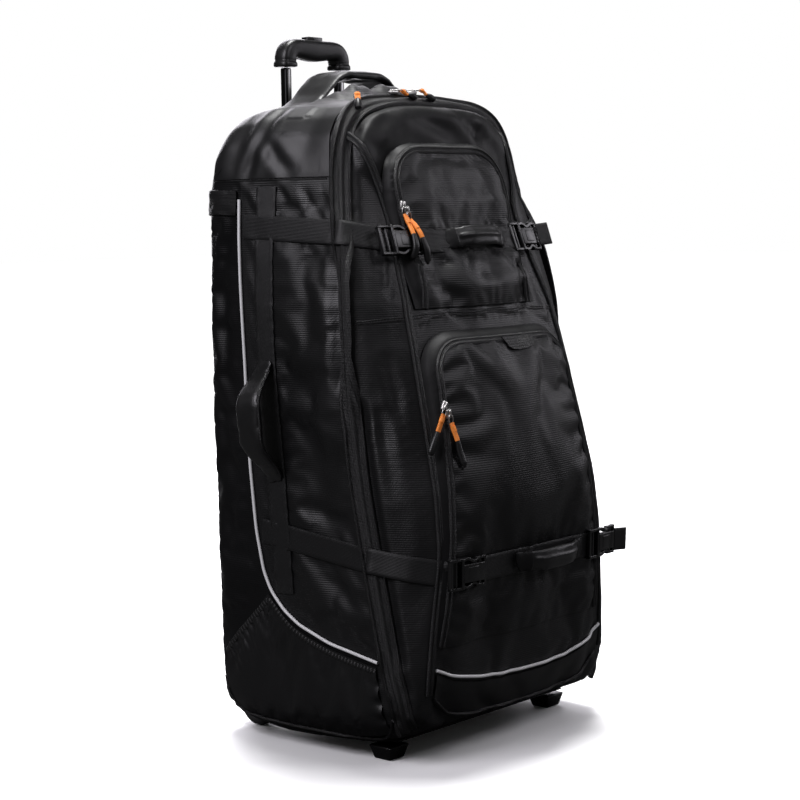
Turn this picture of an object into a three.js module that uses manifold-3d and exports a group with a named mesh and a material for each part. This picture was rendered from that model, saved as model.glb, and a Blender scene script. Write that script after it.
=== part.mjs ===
// Wheeled goalkeeper bag, standing on end. Millimetres, +Z up, front towards -Y, floor at z = 0.
import * as THREE from "three";
import { mergeVertices } from "three/addons/utils/BufferGeometryUtils.js";
import Module from "manifold-3d";

const wasm = await Module();
wasm.setup();

// Shift that brings the frame under the middle of the whole
const FRAME_X = 20;
const FRAME_Y = 20;

// Body sizes
const HALF_WIDTH = 246;
const SIDE_SWELL = 5;
const BACK_Y = 221;
const BACK_SWELL = 2;
const TOP_Z = 980;
const TOP_CROWN = 8;
const TOP_RADIUS = 80;
const LOW_RADIUS = 46;
const WALL = 3;
const MOUTH_GAP = 0.5;

// Points round one section: along a side, round a corner, along the top and the bottom
const SIDE_STEPS = 11;
const CORNER_STEPS = 4;
const EDGE_STEPS = 4;

// Mouth of the shell, where the main zip runs: height, depth, pull of the sides towards the middle
const ZIP_LINE = [
  [1000, -26, 54],
  [905, -38, 46],
  [860, -44, 39],
  [800, -58, 25],
  [730, -75, 8],
  [650, -84, 0],
  [545, -90, 0],
  [426, -105, 0],
  [310, -128, 0],
  [223, -146, 0],
  [123, -168, 0],
  [40, -184, 0],
];

// Underside of the shell: depth, height
const BOTTOM_LINE = [
  [-190, 54],
  [-135, 33],
  [-90, 25],
  [0, 17],
  [100, 11],
  [225, 10],
];

// Edge of the raised front: height, depth, half width
const FRONT_LINE = [
  [975, -66, 100],
  [900, -70, 126],
  [797, -90, 150],
  [660, -146, 174],
  [500, -186, 184],
  [400, -209, 190],
  [311, -218, 194],
  [220, -212, 205],
  [130, -206, 212],
  [60, -194, 208],
];
const FRONT_TOP = 960;
const FRONT_LOW = 66;
const FRONT_TOP_RADIUS = 70;
const FRONT_LOW_RADIUS = 58;
const FRONT_CROWN = 16;

// Sections of the shell from the back to the mouth: share of depth, pull of the sides, top and bottom
const SHELL_ROWS = [
  [0, 40, 122, 92],
  [0.02, 21, 94, 66],
  [0.06, 8, 62, 37],
  [0.12, 2, 34, 17],
  [0.2, 0, 15, 6],
  [0.31, 0, 5, 1],
  [0.45, 0, 1, 0],
  [0.6, 0, 0, 0],
  [0.75, 0, 0, 0],
  [0.88, 0, 0, 0],
  [0.955, 0, 0, 0],
  [1, 0, 0, 0],
];
const BACK_RINGS = [0.34, 0.7];

// Sections of the lid from the mouth to the edge of the front: share of the gusset, swell
const LID_ROWS = [
  [0, 0],
  [0.06, 2],
  [0.32, 7],
  [0.66, 7],
  [1, 0],
];
const FRONT_RINGS = [0.86, 0.6, 0.3];

// Dents and folds: face, across, height, half length, half width, lean in degrees, depth
const FOLDS = [
  ["side", 170, 700, 150, 26, 12, -6],
  ["side", 165, 470, 150, 24, -8, -6],
  ["side", 160, 300, 90, 26, 20, -5],
  ["side", 0, 690, 120, 40, -14, -5],
  ["side", -20, 410, 140, 45, 10, -5],
  ["side", 20, 120, 60, 30, 70, -4],
  ["back", -148, 620, 170, 28, 6, -4],
  ["back", 148, 420, 170, 28, -6, -4],
  ["front", -70, 700, 90, 22, 60, -6],
  ["front", 60, 690, 100, 22, 100, -6],
  ["front", 0, 600, 90, 30, 90, 5],
  ["front", -10, 440, 110, 60, 10, 8],
  ["front", 60, 230, 80, 22, 70, -6],
  ["front", -90, 240, 80, 22, 110, -6],
  ["gusset", -215, 560, 90, 18, 4, -6],
  ["gusset", -222, 240, 80, 16, -8, -6],
  ["gusset", 215, 560, 90, 18, -4, -6],
  ["gusset", 222, 240, 80, 16, 8, -6],
];

// Straps, webbing and thin layers
const WEBBING = 40;
const STRAP_THICK = 1.6;
const LAYER_LIFT = 0.7;
const LAYER_THICK = 1.2;
const STRAP_LIFT = 3.1;
const PIPING_RADIUS = 2.4;
const FRONT_PIPING = 2.6;
// Upper run of the front piping: across from the middle, height
const PIPING_HEAD = [
  [184, 932],
  [180, 916],
  [171, 890],
  [161, 861],
  [152, 820],
];
const PIPING_LOW = 118;
const PANEL_LIFT = 1.6;

// Compression straps: name, heights at the start, at the zip and on the front, depth of the start
const STRAPS = [
  ["upper", 797, 786, 771, 124],
  ["lower", 333, 309, 290, 92],
];
const BUCKLES = [
  ["buckle_upper_left", 0, -157],
  ["buckle_upper_right", 0, 132],
  ["buckle_lower_left", 1, -158],
  ["buckle_lower_right", 1, 174],
];
const BUCKLE_LENGTH = 78;
const BUCKLE_HEIGHT = 48;
const BUCKLE_DEPTH = 13;
const SEAT_GAP = 0.35;
const TAIL_WIDTH = 36;

// Padded grab handles on the straps: name, strap, middle, length
const GRIP_PADS = [
  ["upper_grip_pad", 0, 4, 146],
  ["lower_grip_pad", 1, 34, 166],
];
const GRIP_PAD_THICK = 9;
const GRIP_PAD_RISE = 17;
const GRIP_PAD_WIDTH = 34;

// Pale piping of the side: depth, height
const SIDE_PIPING = [
  [134, 838],
  [130, 720],
  [123, 570],
  [115, 432],
  [105, 332],
  [92, 271],
  [77, 241],
  [50, 214],
  [19, 195],
  [-43, 175],
  [-140, 159],
];

// Upright webbing of the side: depth, height
const SIDE_WEBBING = [
  [83, 856],
  [81, 720],
  [77, 594],
  [60, 411],
  [52, 300],
  [48, 240],
];
const SIDE_HANDLE_TOP = 600;
const SIDE_HANDLE_LOW = 408;
const SIDE_HANDLE_RISE = 40;
const SIDE_HANDLE_WIDTH = 44;
const SIDE_HANDLE_THICK = 13;

// Coated corner panel at the foot of the side: depth, upper edge
const CORNER_PANEL = [
  [184, 138],
  [152, 172],
  [120, 201],
  [100, 219],
  [84, 236],
  [62, 213],
  [36, 193],
  [0, 178],
  [-50, 165],
  [-95, 157],
  [-136, 151],
];
const ELASTIC_WIDTH = 9;

// Pockets on the front: name, lower and upper edge, inset from the front's edge, swell, corner radius, lift
const POCKETS = [
  ["upper_pocket", 672, 908, 14, 7, 62, 1],
  ["lower_pocket", 182, 634, 22, 9, 62, 1.6],
];
const POCKET_ZIP_WIDTH = 13;
const TAB_RADIUS = 40;

// Kick panel at the foot of the front: across, lower edge, upper edge
const KICK_PANEL = [
  [-201, 104, 143],
  [-166, 74, 129],
  [-110, 68, 118],
  [-55, 67, 112],
  [0, 67, 109],
  [55, 67, 109],
  [110, 68, 113],
  [166, 74, 127],
  [201, 104, 143],
];

// Zip pulls: name, face, across, height or depth of the slider, swing in degrees
const PULLS = [
  ["top_pull_left", "top", -138, -16, -44],
  ["top_pull_middle", "top", -55, -14, 66],
  ["top_pull_right", "top", -12, -14, 60],
  ["upper_pull_left", "front", -142, 828, -4],
  ["upper_pull_right", "front", -136, 818, 10],
  ["lower_pull_left", "front", -167, 536, -26],
  ["lower_pull_right", "front", -162, 524, 8],
];
const PULL_LENGTH = 78;
const PULL_WIDTH = 9;
const PULL_THICK = 4;

// Yoke over a top corner: sections of the shell that it covers, and its lower edge
const YOKE_ROWS = [3, 4, 5, 6, 7, 8, 9, 9.8];
const YOKE_LOW = 868;

// Carry handle on the top
const TOP_HANDLE_Y = 128;
const TOP_HANDLE_REACH = 130;
const TOP_HANDLE_RISE = 46;
const TOP_HANDLE_WIDTH = 80;
const TOP_HANDLE_THICK = 9;

// Telescopic handle
const LEG_SPREAD = 62;
const LEG_SIZE = 14;
const LEG_LOW = 150;
const LEG_TOP = 1050;
const SLEEVE_WALL = 1.6;
const SLEEVE_GAP = 0.6;
const SLEEVE_LOW = 140;
const SLEEVE_TOP = 842;
const LEG_Y = BACK_Y - WALL - 0.6 - SLEEVE_WALL - SLEEVE_GAP - LEG_SIZE / 2;
const GRIP_HALF = 84;
const GRIP_TOP = 1098;
const GRIP_BAR = 25;
const GRIP_EAR = 26;
const GRIP_DEPTH = 22;
const GRIP_BEVEL = 5;
const BUTTON_HALF = 18;
const BUTTON_DEPTH = 15;
const BUTTON_SINK = 5;
const BUTTON_RISE = 4;

// Wheels, base and feet
const WHEEL_RADIUS = 37.5;
const WHEEL_WIDTH = 30;
const WHEEL_X = 178;
const WHEEL_Y = 180;
const AXLE_RADIUS = 5;
const HOUSING_HALF = 26;
const HOUSING_WALL = 3;
const HOUSING_FRONT = 133;
const HOUSING_TOP = 86;
const TRAY_THICK = 3;
const FOOT_X = 194;
const FOOT_Y = -108;
const FOOT_TOP_SIZE = 44;
const FOOT_LOW_SIZE = 32;

const group = new THREE.Group();
group.name = "goalkeeper_bag";

const LOOKS = {
  ripstop: [0x1b1b1d, 0.62, 0],
  coated: [0x242427, 0.38, 0],
  webbing: [0x18181a, 0.75, 0],
  zip: [0x101012, 0.55, 0],
  piping: [0xb9bcbe, 0.35, 0.1],
  pad: [0x1f1f22, 0.5, 0],
  plastic: [0x151517, 0.32, 0],
  leg: [0x2c2f36, 0.28, 0.8],
  cord: [0xf07c2a, 0.6, 0],
  tyre: [0x121212, 0.8, 0],
};

function addPiece(name, geometry, look) {
  const [color, roughness, metalness] = LOOKS[look];
  const mesh = new THREE.Mesh(geometry, new THREE.MeshStandardMaterial({ color, roughness, metalness }));
  mesh.name = name;
  group.add(mesh);
  return mesh;
}

const mix = (a, b, t) => a + (b - a) * t;

// Value of a column of a table, read between its rows by its first column
function readTable(table, at, column) {
  const rows = table[0][0] < table[table.length - 1][0] ? table : [...table].reverse();
  if (at <= rows[0][0]) return rows[0][column];
  for (let i = 1; i < rows.length; i += 1) {
    if (at <= rows[i][0]) {
      const share = (at - rows[i - 1][0]) / (rows[i][0] - rows[i - 1][0]);
      return mix(rows[i - 1][column], rows[i][column], share);
    }
  }
  return rows[rows.length - 1][column];
}

const zipY = (z) => readTable(ZIP_LINE, z, 1);
const mouthPull = (z) => readTable(ZIP_LINE, z, 2);
const sideSwell = (z) => SIDE_SWELL * Math.sin(Math.PI * THREE.MathUtils.clamp(z / TOP_Z, 0, 1));
const mouthHalf = (z) => HALF_WIDTH - mouthPull(z);
const frontY = (z) => readTable(FRONT_LINE, z, 1);
const frontHalf = (z) => readTable(FRONT_LINE, z, 2);

// One rounded section as [x, z] pairs: up the left, over the top, down the right, back along the bottom
function sectionLoop(halfAt, low, high, topRadius, lowRadius, crown) {
  const pairs = [];
  const topHalf = halfAt(high - topRadius) - topRadius;
  const lowHalf = halfAt(low + lowRadius) - lowRadius;
  const arc = (x, z, radius, from, i) => {
    const angle = from - (Math.PI / 2) * (i / CORNER_STEPS);
    pairs.push([x + radius * Math.cos(angle), z + radius * Math.sin(angle)]);
  };
  const sideZ = (i) => mix(low + lowRadius, high - topRadius, i / SIDE_STEPS);
  for (let i = 0; i < SIDE_STEPS; i += 1) pairs.push([-halfAt(sideZ(i)), sideZ(i)]);
  for (let i = 0; i < CORNER_STEPS; i += 1) arc(-topHalf, high - topRadius, topRadius, Math.PI, i);
  for (let i = 0; i < EDGE_STEPS; i += 1) {
    const share = mix(-1, 1, i / EDGE_STEPS);
    pairs.push([topHalf * share, high + crown * (1 - share * share)]);
  }
  for (let i = 0; i < CORNER_STEPS; i += 1) arc(topHalf, high - topRadius, topRadius, Math.PI / 2, i);
  for (let i = SIDE_STEPS; i > 0; i -= 1) pairs.push([halfAt(sideZ(i)), sideZ(i)]);
  for (let i = 0; i < CORNER_STEPS; i += 1) arc(lowHalf, low + lowRadius, lowRadius, 0, i);
  for (let i = 0; i < EDGE_STEPS; i += 1) pairs.push([mix(lowHalf, -lowHalf, i / EDGE_STEPS), low]);
  for (let i = 0; i < CORNER_STEPS; i += 1) arc(-lowHalf, low + lowRadius, lowRadius, -Math.PI / 2, i);
  return pairs;
}

// Section of the shell at a share of its depth
function shellLoop(share, sideIn, topIn, lowIn) {
  const lowY = mix(BACK_Y, zipY(40), share);
  const low = readTable(BOTTOM_LINE, lowY, 1) + lowIn;
  const high = TOP_Z - topIn;
  const halfAt = (z) => HALF_WIDTH + sideSwell(z) - sideIn - mouthPull(z) * share ** 1.5;
  const pairs = sectionLoop(halfAt, low, high, TOP_RADIUS, LOW_RADIUS, TOP_CROWN);
  return pairs.map(([x, z]) => new THREE.Vector3(x, mix(BACK_Y, zipY(z), share), z));
}

// Edge of the raised front, drawn in by a share towards its middle line, with its crown
function frontLoop(share) {
  const pairs = sectionLoop(frontHalf, FRONT_LOW, FRONT_TOP, FRONT_TOP_RADIUS, FRONT_LOW_RADIUS, 0);
  const middle = (FRONT_LOW + FRONT_TOP) / 2;
  return pairs.map(([x, z]) => {
    const height = mix(middle, z, share);
    return new THREE.Vector3(x * share, frontY(height) - FRONT_CROWN * (1 - share * share), height);
  });
}

// Closed rings joined into a skin; the first ring closes on a middle point
function skinGeometry(rings, pole) {
  const count = rings[0].length;
  const position = [];
  const index = [];
  rings.forEach((ring) => ring.forEach((p) => position.push(p.x, p.y, p.z)));
  const last = rings.length * count;
  position.push(pole.x, pole.y, pole.z);
  for (let r = 0; r + 1 < rings.length; r += 1) {
    for (let i = 0; i < count; i += 1) {
      const a = r * count + i;
      const b = r * count + ((i + 1) % count);
      index.push(a, b, a + count, b, b + count, a + count);
    }
  }
  for (let i = 0; i < count; i += 1) index.push(last, (i + 1) % count, i);
  return closedGeometry(position, index);
}

const FACES = {
  side: (p, n) => (Math.abs(n.x) > 0.6 ? [p.y, p.z] : null),
  back: (p, n) => (n.y > 0.6 ? [p.x, p.z] : null),
  front: (p, n) => (n.y < -0.5 && Math.abs(p.x) < frontHalf(p.z) - 8 ? [p.x, p.z] : null),
  gusset: (p, n) => (n.y < -0.1 && Math.abs(p.x) > frontHalf(p.z) + 8 ? [p.x, p.z] : null),
};

// Presses the dents and folds into a skin along its normals, leaving its rim alone
function pressFolds(geometry, rimStart) {
  const position = geometry.attributes.position;
  const normal = geometry.attributes.normal;
  const moved = [];
  for (let i = 0; i < position.count; i += 1) {
    const p = new THREE.Vector3().fromBufferAttribute(position, i);
    const n = new THREE.Vector3().fromBufferAttribute(normal, i);
    let depth = 0;
    for (const [face, across, height, halfLength, halfWidth, lean, push] of FOLDS) {
      const at = FACES[face](p, n);
      if (!at || (i >= rimStart && i < position.count - 1)) continue;
      const turn = THREE.MathUtils.degToRad(lean);
      const du = at[0] - across;
      const dv = at[1] - height;
      const along = dv * Math.cos(turn) + du * Math.sin(turn);
      const side = du * Math.cos(turn) - dv * Math.sin(turn);
      depth += push * Math.exp(-((along / halfLength) ** 2) - (side / halfWidth) ** 2);
    }
    moved.push(p.addScaledVector(n, depth));
  }
  moved.forEach((p, i) => position.setXYZ(i, p.x, p.y, p.z));
  geometry.computeVertexNormals();
  return geometry;
}

// Outward directions of a section's points within its own plane
function loopNormals(loop) {
  return loop.map((p, i) => {
    const before = loop[(i + loop.length - 1) % loop.length];
    const after = loop[(i + 1) % loop.length];
    return new THREE.Vector3(before.z - after.z, 0, after.x - before.x).normalize();
  });
}

// Whether a skin's own triangles run along the edge from one point to another
function runsAlong(index, from, to) {
  for (let i = 0; i < index.length; i += 3) {
    for (let k = 0; k < 3; k += 1) {
      if (index[i + k] === from && index[i + ((k + 1) % 3)] === to) return true;
    }
  }
  return false;
}

// Hollow wall from a skin: the skin, its copy one wall further in, and the rim between them
function wallGeometry(skin, count, rings, wall, rimNormals) {
  const outer = skin.attributes.position;
  const normal = skin.attributes.normal;
  const total = outer.count;
  const rim = (rings - 1) * count;
  const position = [...outer.array];
  for (let i = 0; i < total; i += 1) {
    const p = new THREE.Vector3().fromBufferAttribute(outer, i);
    const n = new THREE.Vector3().fromBufferAttribute(normal, i);
    if (i >= rim && i < total - 1) n.copy(rimNormals[i - rim]);
    p.addScaledVector(n, -wall);
    position.push(p.x, p.y, p.z);
  }
  const index = [...skin.index.array];
  for (let i = 0; i < skin.index.count; i += 3) {
    const [a, b, c] = [0, 1, 2].map((k) => skin.index.array[i + k] + total);
    index.push(a, c, b);
  }
  const forward = runsAlong(skin.index.array, rim, rim + 1);
  for (let i = 0; i < count; i += 1) {
    const next = (i + 1) % count;
    const [a, b] = forward ? [rim + next, rim + i] : [rim + i, rim + next];
    index.push(a, b, a + total, b, b + total, a + total);
  }
  return closedGeometry(position, index);
}

// Indexed geometry that faces out whichever way round its triangles were listed
function closedGeometry(position, index) {
  let volume = 0;
  const at = (i) => new THREE.Vector3(position[3 * i], position[3 * i + 1], position[3 * i + 2]);
  for (let i = 0; i < index.length; i += 3) {
    volume += at(index[i]).dot(at(index[i + 1]).cross(at(index[i + 2])));
  }
  const order = volume < 0 ? index.map((v, i) => index[i - (i % 3) + [0, 2, 1][i % 3]]) : index;
  const geometry = new THREE.BufferGeometry();
  geometry.setAttribute("position", new THREE.Float32BufferAttribute(position, 3));
  geometry.setIndex(order);
  geometry.computeVertexNormals();
  return geometry;
}

// Solid and geometry, each made from the other
function toSolid(geometry) {
  const bare = geometry.clone();
  bare.deleteAttribute("normal");
  bare.deleteAttribute("uv");
  const merged = mergeVertices(bare, 1e-3);
  return new wasm.Manifold(new wasm.Mesh({
    numProp: 3,
    vertProperties: new Float32Array(merged.attributes.position.array),
    triVerts: new Uint32Array(merged.index.array),
  }));
}

function toGeometry(solid) {
  const mesh = solid.getMesh();
  const geometry = new THREE.BufferGeometry();
  const stride = mesh.numProp;
  const position = [];
  for (let i = 0; i < mesh.vertProperties.length; i += stride) {
    position.push(mesh.vertProperties[i], mesh.vertProperties[i + 1], mesh.vertProperties[i + 2]);
  }
  geometry.setAttribute("position", new THREE.Float32BufferAttribute(position, 3));
  geometry.setIndex([...mesh.triVerts]);
  geometry.computeVertexNormals();
  return geometry;
}

function boxBetween(x0, x1, y0, y1, z0, z1) {
  const geometry = new THREE.BoxGeometry(x1 - x0, y1 - y0, z1 - z0);
  return geometry.translate((x0 + x1) / 2, (y0 + y1) / 2, (z0 + z1) / 2);
}

// Round bar lying along X
function barAlongX(x0, x1, y, z, radius, sides) {
  const geometry = new THREE.CylinderGeometry(radius, radius, x1 - x0, sides);
  return geometry.rotateZ(Math.PI / 2).translate((x0 + x1) / 2, y, z);
}

// Skins of the shell and the lid
const ringCount = 2 * SIDE_STEPS + 4 * CORNER_STEPS + 2 * EDGE_STEPS;
const backMiddle = new THREE.Vector3(0, BACK_Y + BACK_SWELL, TOP_Z / 2);
const backEdge = shellLoop(...SHELL_ROWS[0]);
const shellRings = BACK_RINGS.map((share) => backEdge.map((p) => {
  const q = new THREE.Vector3().lerpVectors(backMiddle, p, share);
  q.y = BACK_Y + BACK_SWELL * (1 - share * share);
  return q;
}));
SHELL_ROWS.forEach((row) => shellRings.push(shellLoop(...row)));
const shellSkin = pressFolds(skinGeometry(shellRings, backMiddle), (shellRings.length - 1) * ringCount);

const mouth = shellLoop(...SHELL_ROWS[SHELL_ROWS.length - 1]);
mouth.forEach((p) => { p.y -= MOUTH_GAP; });
const frontEdge = frontLoop(1);
const frontZ = (FRONT_LOW + FRONT_TOP) / 2;
const frontMiddle = new THREE.Vector3(0, frontY(frontZ) - FRONT_CROWN, frontZ);
const lidRings = [...FRONT_RINGS].reverse().map((share) => frontLoop(share));
[...LID_ROWS].reverse().forEach(([share, swell]) => {
  lidRings.push(mouth.map((p, i) => {
    const q = new THREE.Vector3().lerpVectors(p, frontEdge[i], share);
    q.y -= swell * 0.6;
    q.x += Math.sign(q.x) * swell * (Math.abs(p.x) > 150 ? 0.8 : 0);
    return q;
  }));
});
const lidSkin = pressFolds(skinGeometry(lidRings, frontMiddle), (lidRings.length - 1) * ringCount);

// Rays that find a place on the outside of the bag
const targets = [shellSkin, lidSkin].map((skin) => {
  return new THREE.Mesh(skin, new THREE.MeshBasicMaterial({ side: THREE.DoubleSide }));
});
targets.forEach((mesh) => mesh.updateMatrixWorld(true));
const caster = new THREE.Raycaster();

function touch(origin, direction) {
  caster.set(origin, direction.clone().normalize());
  const hit = caster.intersectObjects(targets, false)[0];
  if (!hit) return null;
  const normal = hit.normal.clone().normalize();
  if (normal.dot(direction) > 0) normal.negate();
  return { point: hit.point.clone(), normal };
}

const REACH = 600;
const onLeft = (y, z) => touch(new THREE.Vector3(-REACH, y, z), new THREE.Vector3(1, 0, 0));
const onFront = (x, z) => touch(new THREE.Vector3(x, -REACH, z), new THREE.Vector3(0, 1, 0));
const onTop = (x, y) => touch(new THREE.Vector3(x, y, 2 * REACH), new THREE.Vector3(0, 0, -1));
const onBottom = (x, y) => touch(new THREE.Vector3(x, y, -REACH), new THREE.Vector3(0, 0, 1));

// Place on the shell's own facets, by section and by point round it, both with fractions
function onShell(row, at) {
  const skin = shellSkin.attributes;
  const corner = (r, i) => {
    const index = (BACK_RINGS.length + r) * ringCount + ((i + ringCount) % ringCount);
    return ["position", "normal"].map((key) => new THREE.Vector3().fromBufferAttribute(skin[key], index));
  };
  const r = Math.min(Math.floor(row), SHELL_ROWS.length - 2);
  const i = Math.floor(at);
  const [point, normal] = [0, 1].map((key) => {
    const near = new THREE.Vector3().lerpVectors(corner(r, i)[key], corner(r, i + 1)[key], at - i);
    const far = new THREE.Vector3().lerpVectors(corner(r + 1, i)[key], corner(r + 1, i + 1)[key], at - i);
    return near.lerp(far, row - r);
  });
  return { point, normal: normal.normalize() };
}

// Section, with its fraction, whose left side lies at a depth at a height
function rowAt(y, z) {
  const share = (BACK_Y - y) / (BACK_Y - zipY(z));
  const next = Math.max(1, SHELL_ROWS.findIndex((row) => row[0] >= share));
  const [a, b] = [SHELL_ROWS[next - 1][0], SHELL_ROWS[next][0]];
  return next - 1 + (share - a) / (b - a);
}

// Point round a section, with its fraction, whose left side lies at a height
function pointAt(row, z) {
  const [low, high] = [0, SIDE_STEPS].map((i) => onShell(row, i).point.z);
  return (SIDE_STEPS * (z - low)) / (high - low);
}

// Closed sheet over a grid of places, from one lift to another
function sheetSolid(grid, lift, thick, liftAt) {
  const rows = grid.length;
  const columns = grid[0].length;
  const position = [];
  const layer = (height) => grid.forEach((row, r) => row.forEach((place, c) => {
    const extra = liftAt ? liftAt(r / (rows - 1), c / (columns - 1)) : 0;
    const p = place.point.clone().addScaledVector(place.normal, height + extra);
    position.push(p.x, p.y, p.z);
  }));
  layer(lift + thick);
  layer(lift);
  const under = rows * columns;
  const index = [];
  const quad = (a, b, c, d) => index.push(a, b, c, a, c, d);
  for (let r = 0; r + 1 < rows; r += 1) {
    for (let c = 0; c + 1 < columns; c += 1) {
      const a = r * columns + c;
      quad(a, a + 1, a + columns + 1, a + columns);
      quad(a + under, a + columns + under, a + columns + 1 + under, a + 1 + under);
    }
  }
  for (let c = 0; c + 1 < columns; c += 1) {
    const far = (rows - 1) * columns + c;
    quad(c, c + under, c + 1 + under, c + 1);
    quad(far, far + 1, far + 1 + under, far + under);
  }
  for (let r = 0; r + 1 < rows; r += 1) {
    const near = r * columns;
    const far = near + columns - 1;
    quad(near, near + columns, near + columns + under, near + under);
    quad(far, far + under, far + columns + under, far + columns);
  }
  return closedGeometry(position, index);
}

// Even points along a table's path of two columns
function pathPoints(table, step) {
  const corners = table.map(([a, b]) => new THREE.Vector3(a, b, 0));
  const curve = new THREE.CatmullRomCurve3(corners, false, "centripetal");
  const count = Math.max(2, Math.round(curve.getLength() / step));
  return curve.getSpacedPoints(count);
}

// Band of a given width along a path, found on a face by its own rays
function bandGrid(points, width, across, find) {
  return points.map((p, i) => {
    const before = points[Math.max(0, i - 1)];
    const after = points[Math.min(points.length - 1, i + 1)];
    const along = after.clone().sub(before).normalize();
    const row = [];
    for (let c = 0; c <= across; c += 1) {
      const side = (c / across - 0.5) * width;
      row.push(find(p.x - along.y * side, p.y + along.x * side));
    }
    return row;
  });
}

// Round cord along a list of places, standing off the surface
function cordSolid(places, radius, sides, steps, lift) {
  const stand = radius + lift;
  const corners = places.map((place) => place.point.clone().addScaledVector(place.normal, stand));
  const curve = new THREE.CatmullRomCurve3(corners);
  const ring = new THREE.Shape();
  for (let i = 0; i < sides; i += 1) {
    const angle = (2 * Math.PI * i) / sides;
    const spot = [radius * Math.cos(angle), radius * Math.sin(angle)];
    if (i === 0) ring.moveTo(...spot);
    else ring.lineTo(...spot);
  }
  const options = { steps, extrudePath: curve, curveSegments: 1, bevelEnabled: false };
  return new THREE.ExtrudeGeometry(ring, options);
}

// Mirror image on the other side of the bag
function mirrored(geometry) {
  const copy = geometry.index ? geometry.clone() : mergeVertices(geometry.clone().deleteAttribute("uv"));
  const position = [...copy.attributes.position.array].map((v, i) => (i % 3 === 0 ? -v : v));
  return closedGeometry(position, [...copy.index.array]);
}

function addPair(name, geometry, look) {
  addPiece(`${name}_left`, geometry, look);
  addPiece(`${name}_right`, mirrored(geometry), look);
}

// Shell with the leg holes and the wheel notches cut through its wall
const shellSolid = toSolid(wallGeometry(shellSkin, ringCount, shellRings.length, WALL, loopNormals(mouth)));
const shellCaps = shellRings[shellRings.length - 1];
const fullRim = (shellRings.length - 1) * ringCount;
const fullIndex = [...shellSkin.index.array];
const fullPosition = [...shellSkin.attributes.position.array];
const capMiddle = fullPosition.length / 3;
fullPosition.push(0, mix(shellCaps[0].y, zipY(TOP_Z), 0.5), TOP_Z / 2);
const fullForward = runsAlong(fullIndex, fullRim, fullRim + 1);
for (let i = 0; i < ringCount; i += 1) {
  const next = (i + 1) % ringCount;
  const [a, b] = fullForward ? [next, i] : [i, next];
  fullIndex.push(fullRim + a, fullRim + b, capMiddle);
}
const fullBody = toSolid(closedGeometry(fullPosition, fullIndex));

let shell = shellSolid;
for (const side of [-1, 1]) {
  const hole = LEG_SIZE / 2 + 1;
  const legX = side * LEG_SPREAD;
  const [holeBack, holeFront] = [LEG_Y + hole, LEG_Y - hole];
  const legCut = boxBetween(legX - hole, legX + hole, holeFront, holeBack, SLEEVE_TOP + 4, TOP_Z + 10);
  const notch = boxBetween(
    side * WHEEL_X - HOUSING_HALF - 0.4, side * WHEEL_X + HOUSING_HALF + 0.4,
    HOUSING_FRONT - 0.4, BACK_Y + 40, -40, HOUSING_TOP + 0.4,
  );
  shell = shell.subtract(toSolid(legCut)).subtract(toSolid(notch));
}
addPiece("main_shell", toGeometry(shell), "ripstop");
const lid = wallGeometry(lidSkin, ringCount, lidRings.length, WALL, loopNormals(mouth));
addPiece("front_lid", lid, "ripstop");

// Main zip: a band round the mouth, from low on one side over the top to low on the other
const ZIP_LOW = 206;
const zipRows = [0.957, 0.999].map((share) => shellLoop(share, 0, 0, 0));
const zipStart = zipRows[0].findIndex((p) => p.z > ZIP_LOW);
const zipEnd = ringCount - EDGE_STEPS - 2 * CORNER_STEPS - zipStart;
const zipGrid = [];
const roofZ = TOP_Z - TOP_RADIUS;
const roofHalf = mouthHalf(roofZ) - TOP_RADIUS;
for (let i = zipStart; i <= zipEnd; i += 1) {
  zipGrid.push(zipRows.map((row) => {
    const p = row[i];
    const out = new THREE.Vector3(p.x - Math.sign(p.x) * roofHalf, 0, Math.max(0, p.z - roofZ));
    if (p.z < roofZ) out.set(Math.sign(p.x), 0, 0);
    if (Math.abs(p.x) < roofHalf) out.set(0, 0, 1);
    out.normalize();
    return touch(p.clone().addScaledVector(out, 200), out.clone().negate()) ?? { point: p, normal: out };
  }));
}
addPiece("main_zip", sheetSolid(zipGrid, LAYER_LIFT + 0.5, LAYER_THICK), "zip");

// Coated yokes over the top corners
const yokeGrid = YOKE_ROWS.map((row) => {
  const edge = pointAt(row, YOKE_LOW);
  const turns = [];
  for (let i = 0; i <= CORNER_STEPS; i += 1) turns.push(SIDE_STEPS + i);
  return [edge, ...turns, SIDE_STEPS + CORNER_STEPS + 0.25].map((at) => onShell(row, at));
});
addPair("yoke", sheetSolid(yokeGrid, LAYER_LIFT + 0.3, LAYER_THICK), "coated");

// Coated corner panels, with a thick gathered edge along the pocket mouth
const cornerGrid = CORNER_PANEL.map(([y, high]) => {
  const row = rowAt(y, high);
  const top = pointAt(row, high);
  const band = pointAt(row, high - ELASTIC_WIDTH);
  return [-2, -1, 0, mix(0, band, 0.5), band, top].map((at) => onShell(row, at));
});
const gather = (r, c) => {
  if (r > 0.42) return 0;
  const band = c > 0.7 ? 1.4 : 0;
  const heel = r < 0.2 && c < 0.45 ? 2 : 0;
  return band + heel + 4 * Math.max(0, Math.sin(Math.PI * (c - 0.3)));
};
addPair("corner", sheetSolid(cornerGrid, PANEL_LIFT, LAYER_THICK, gather), "coated");

// Side piping, upright webbing
const pipingPlaces = pathPoints(SIDE_PIPING, 26).map((p) => onLeft(p.x, p.y));
addPair("side_piping", cordSolid(pipingPlaces, PIPING_RADIUS, 5, 24, LAYER_LIFT + 0.2), "piping");
const webbingGrid = bandGrid(pathPoints(SIDE_WEBBING, 45), WEBBING, 2, onLeft);
addPair("side_webbing", sheetSolid(webbingGrid, LAYER_LIFT + 0.3, LAYER_THICK), "webbing");

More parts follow.
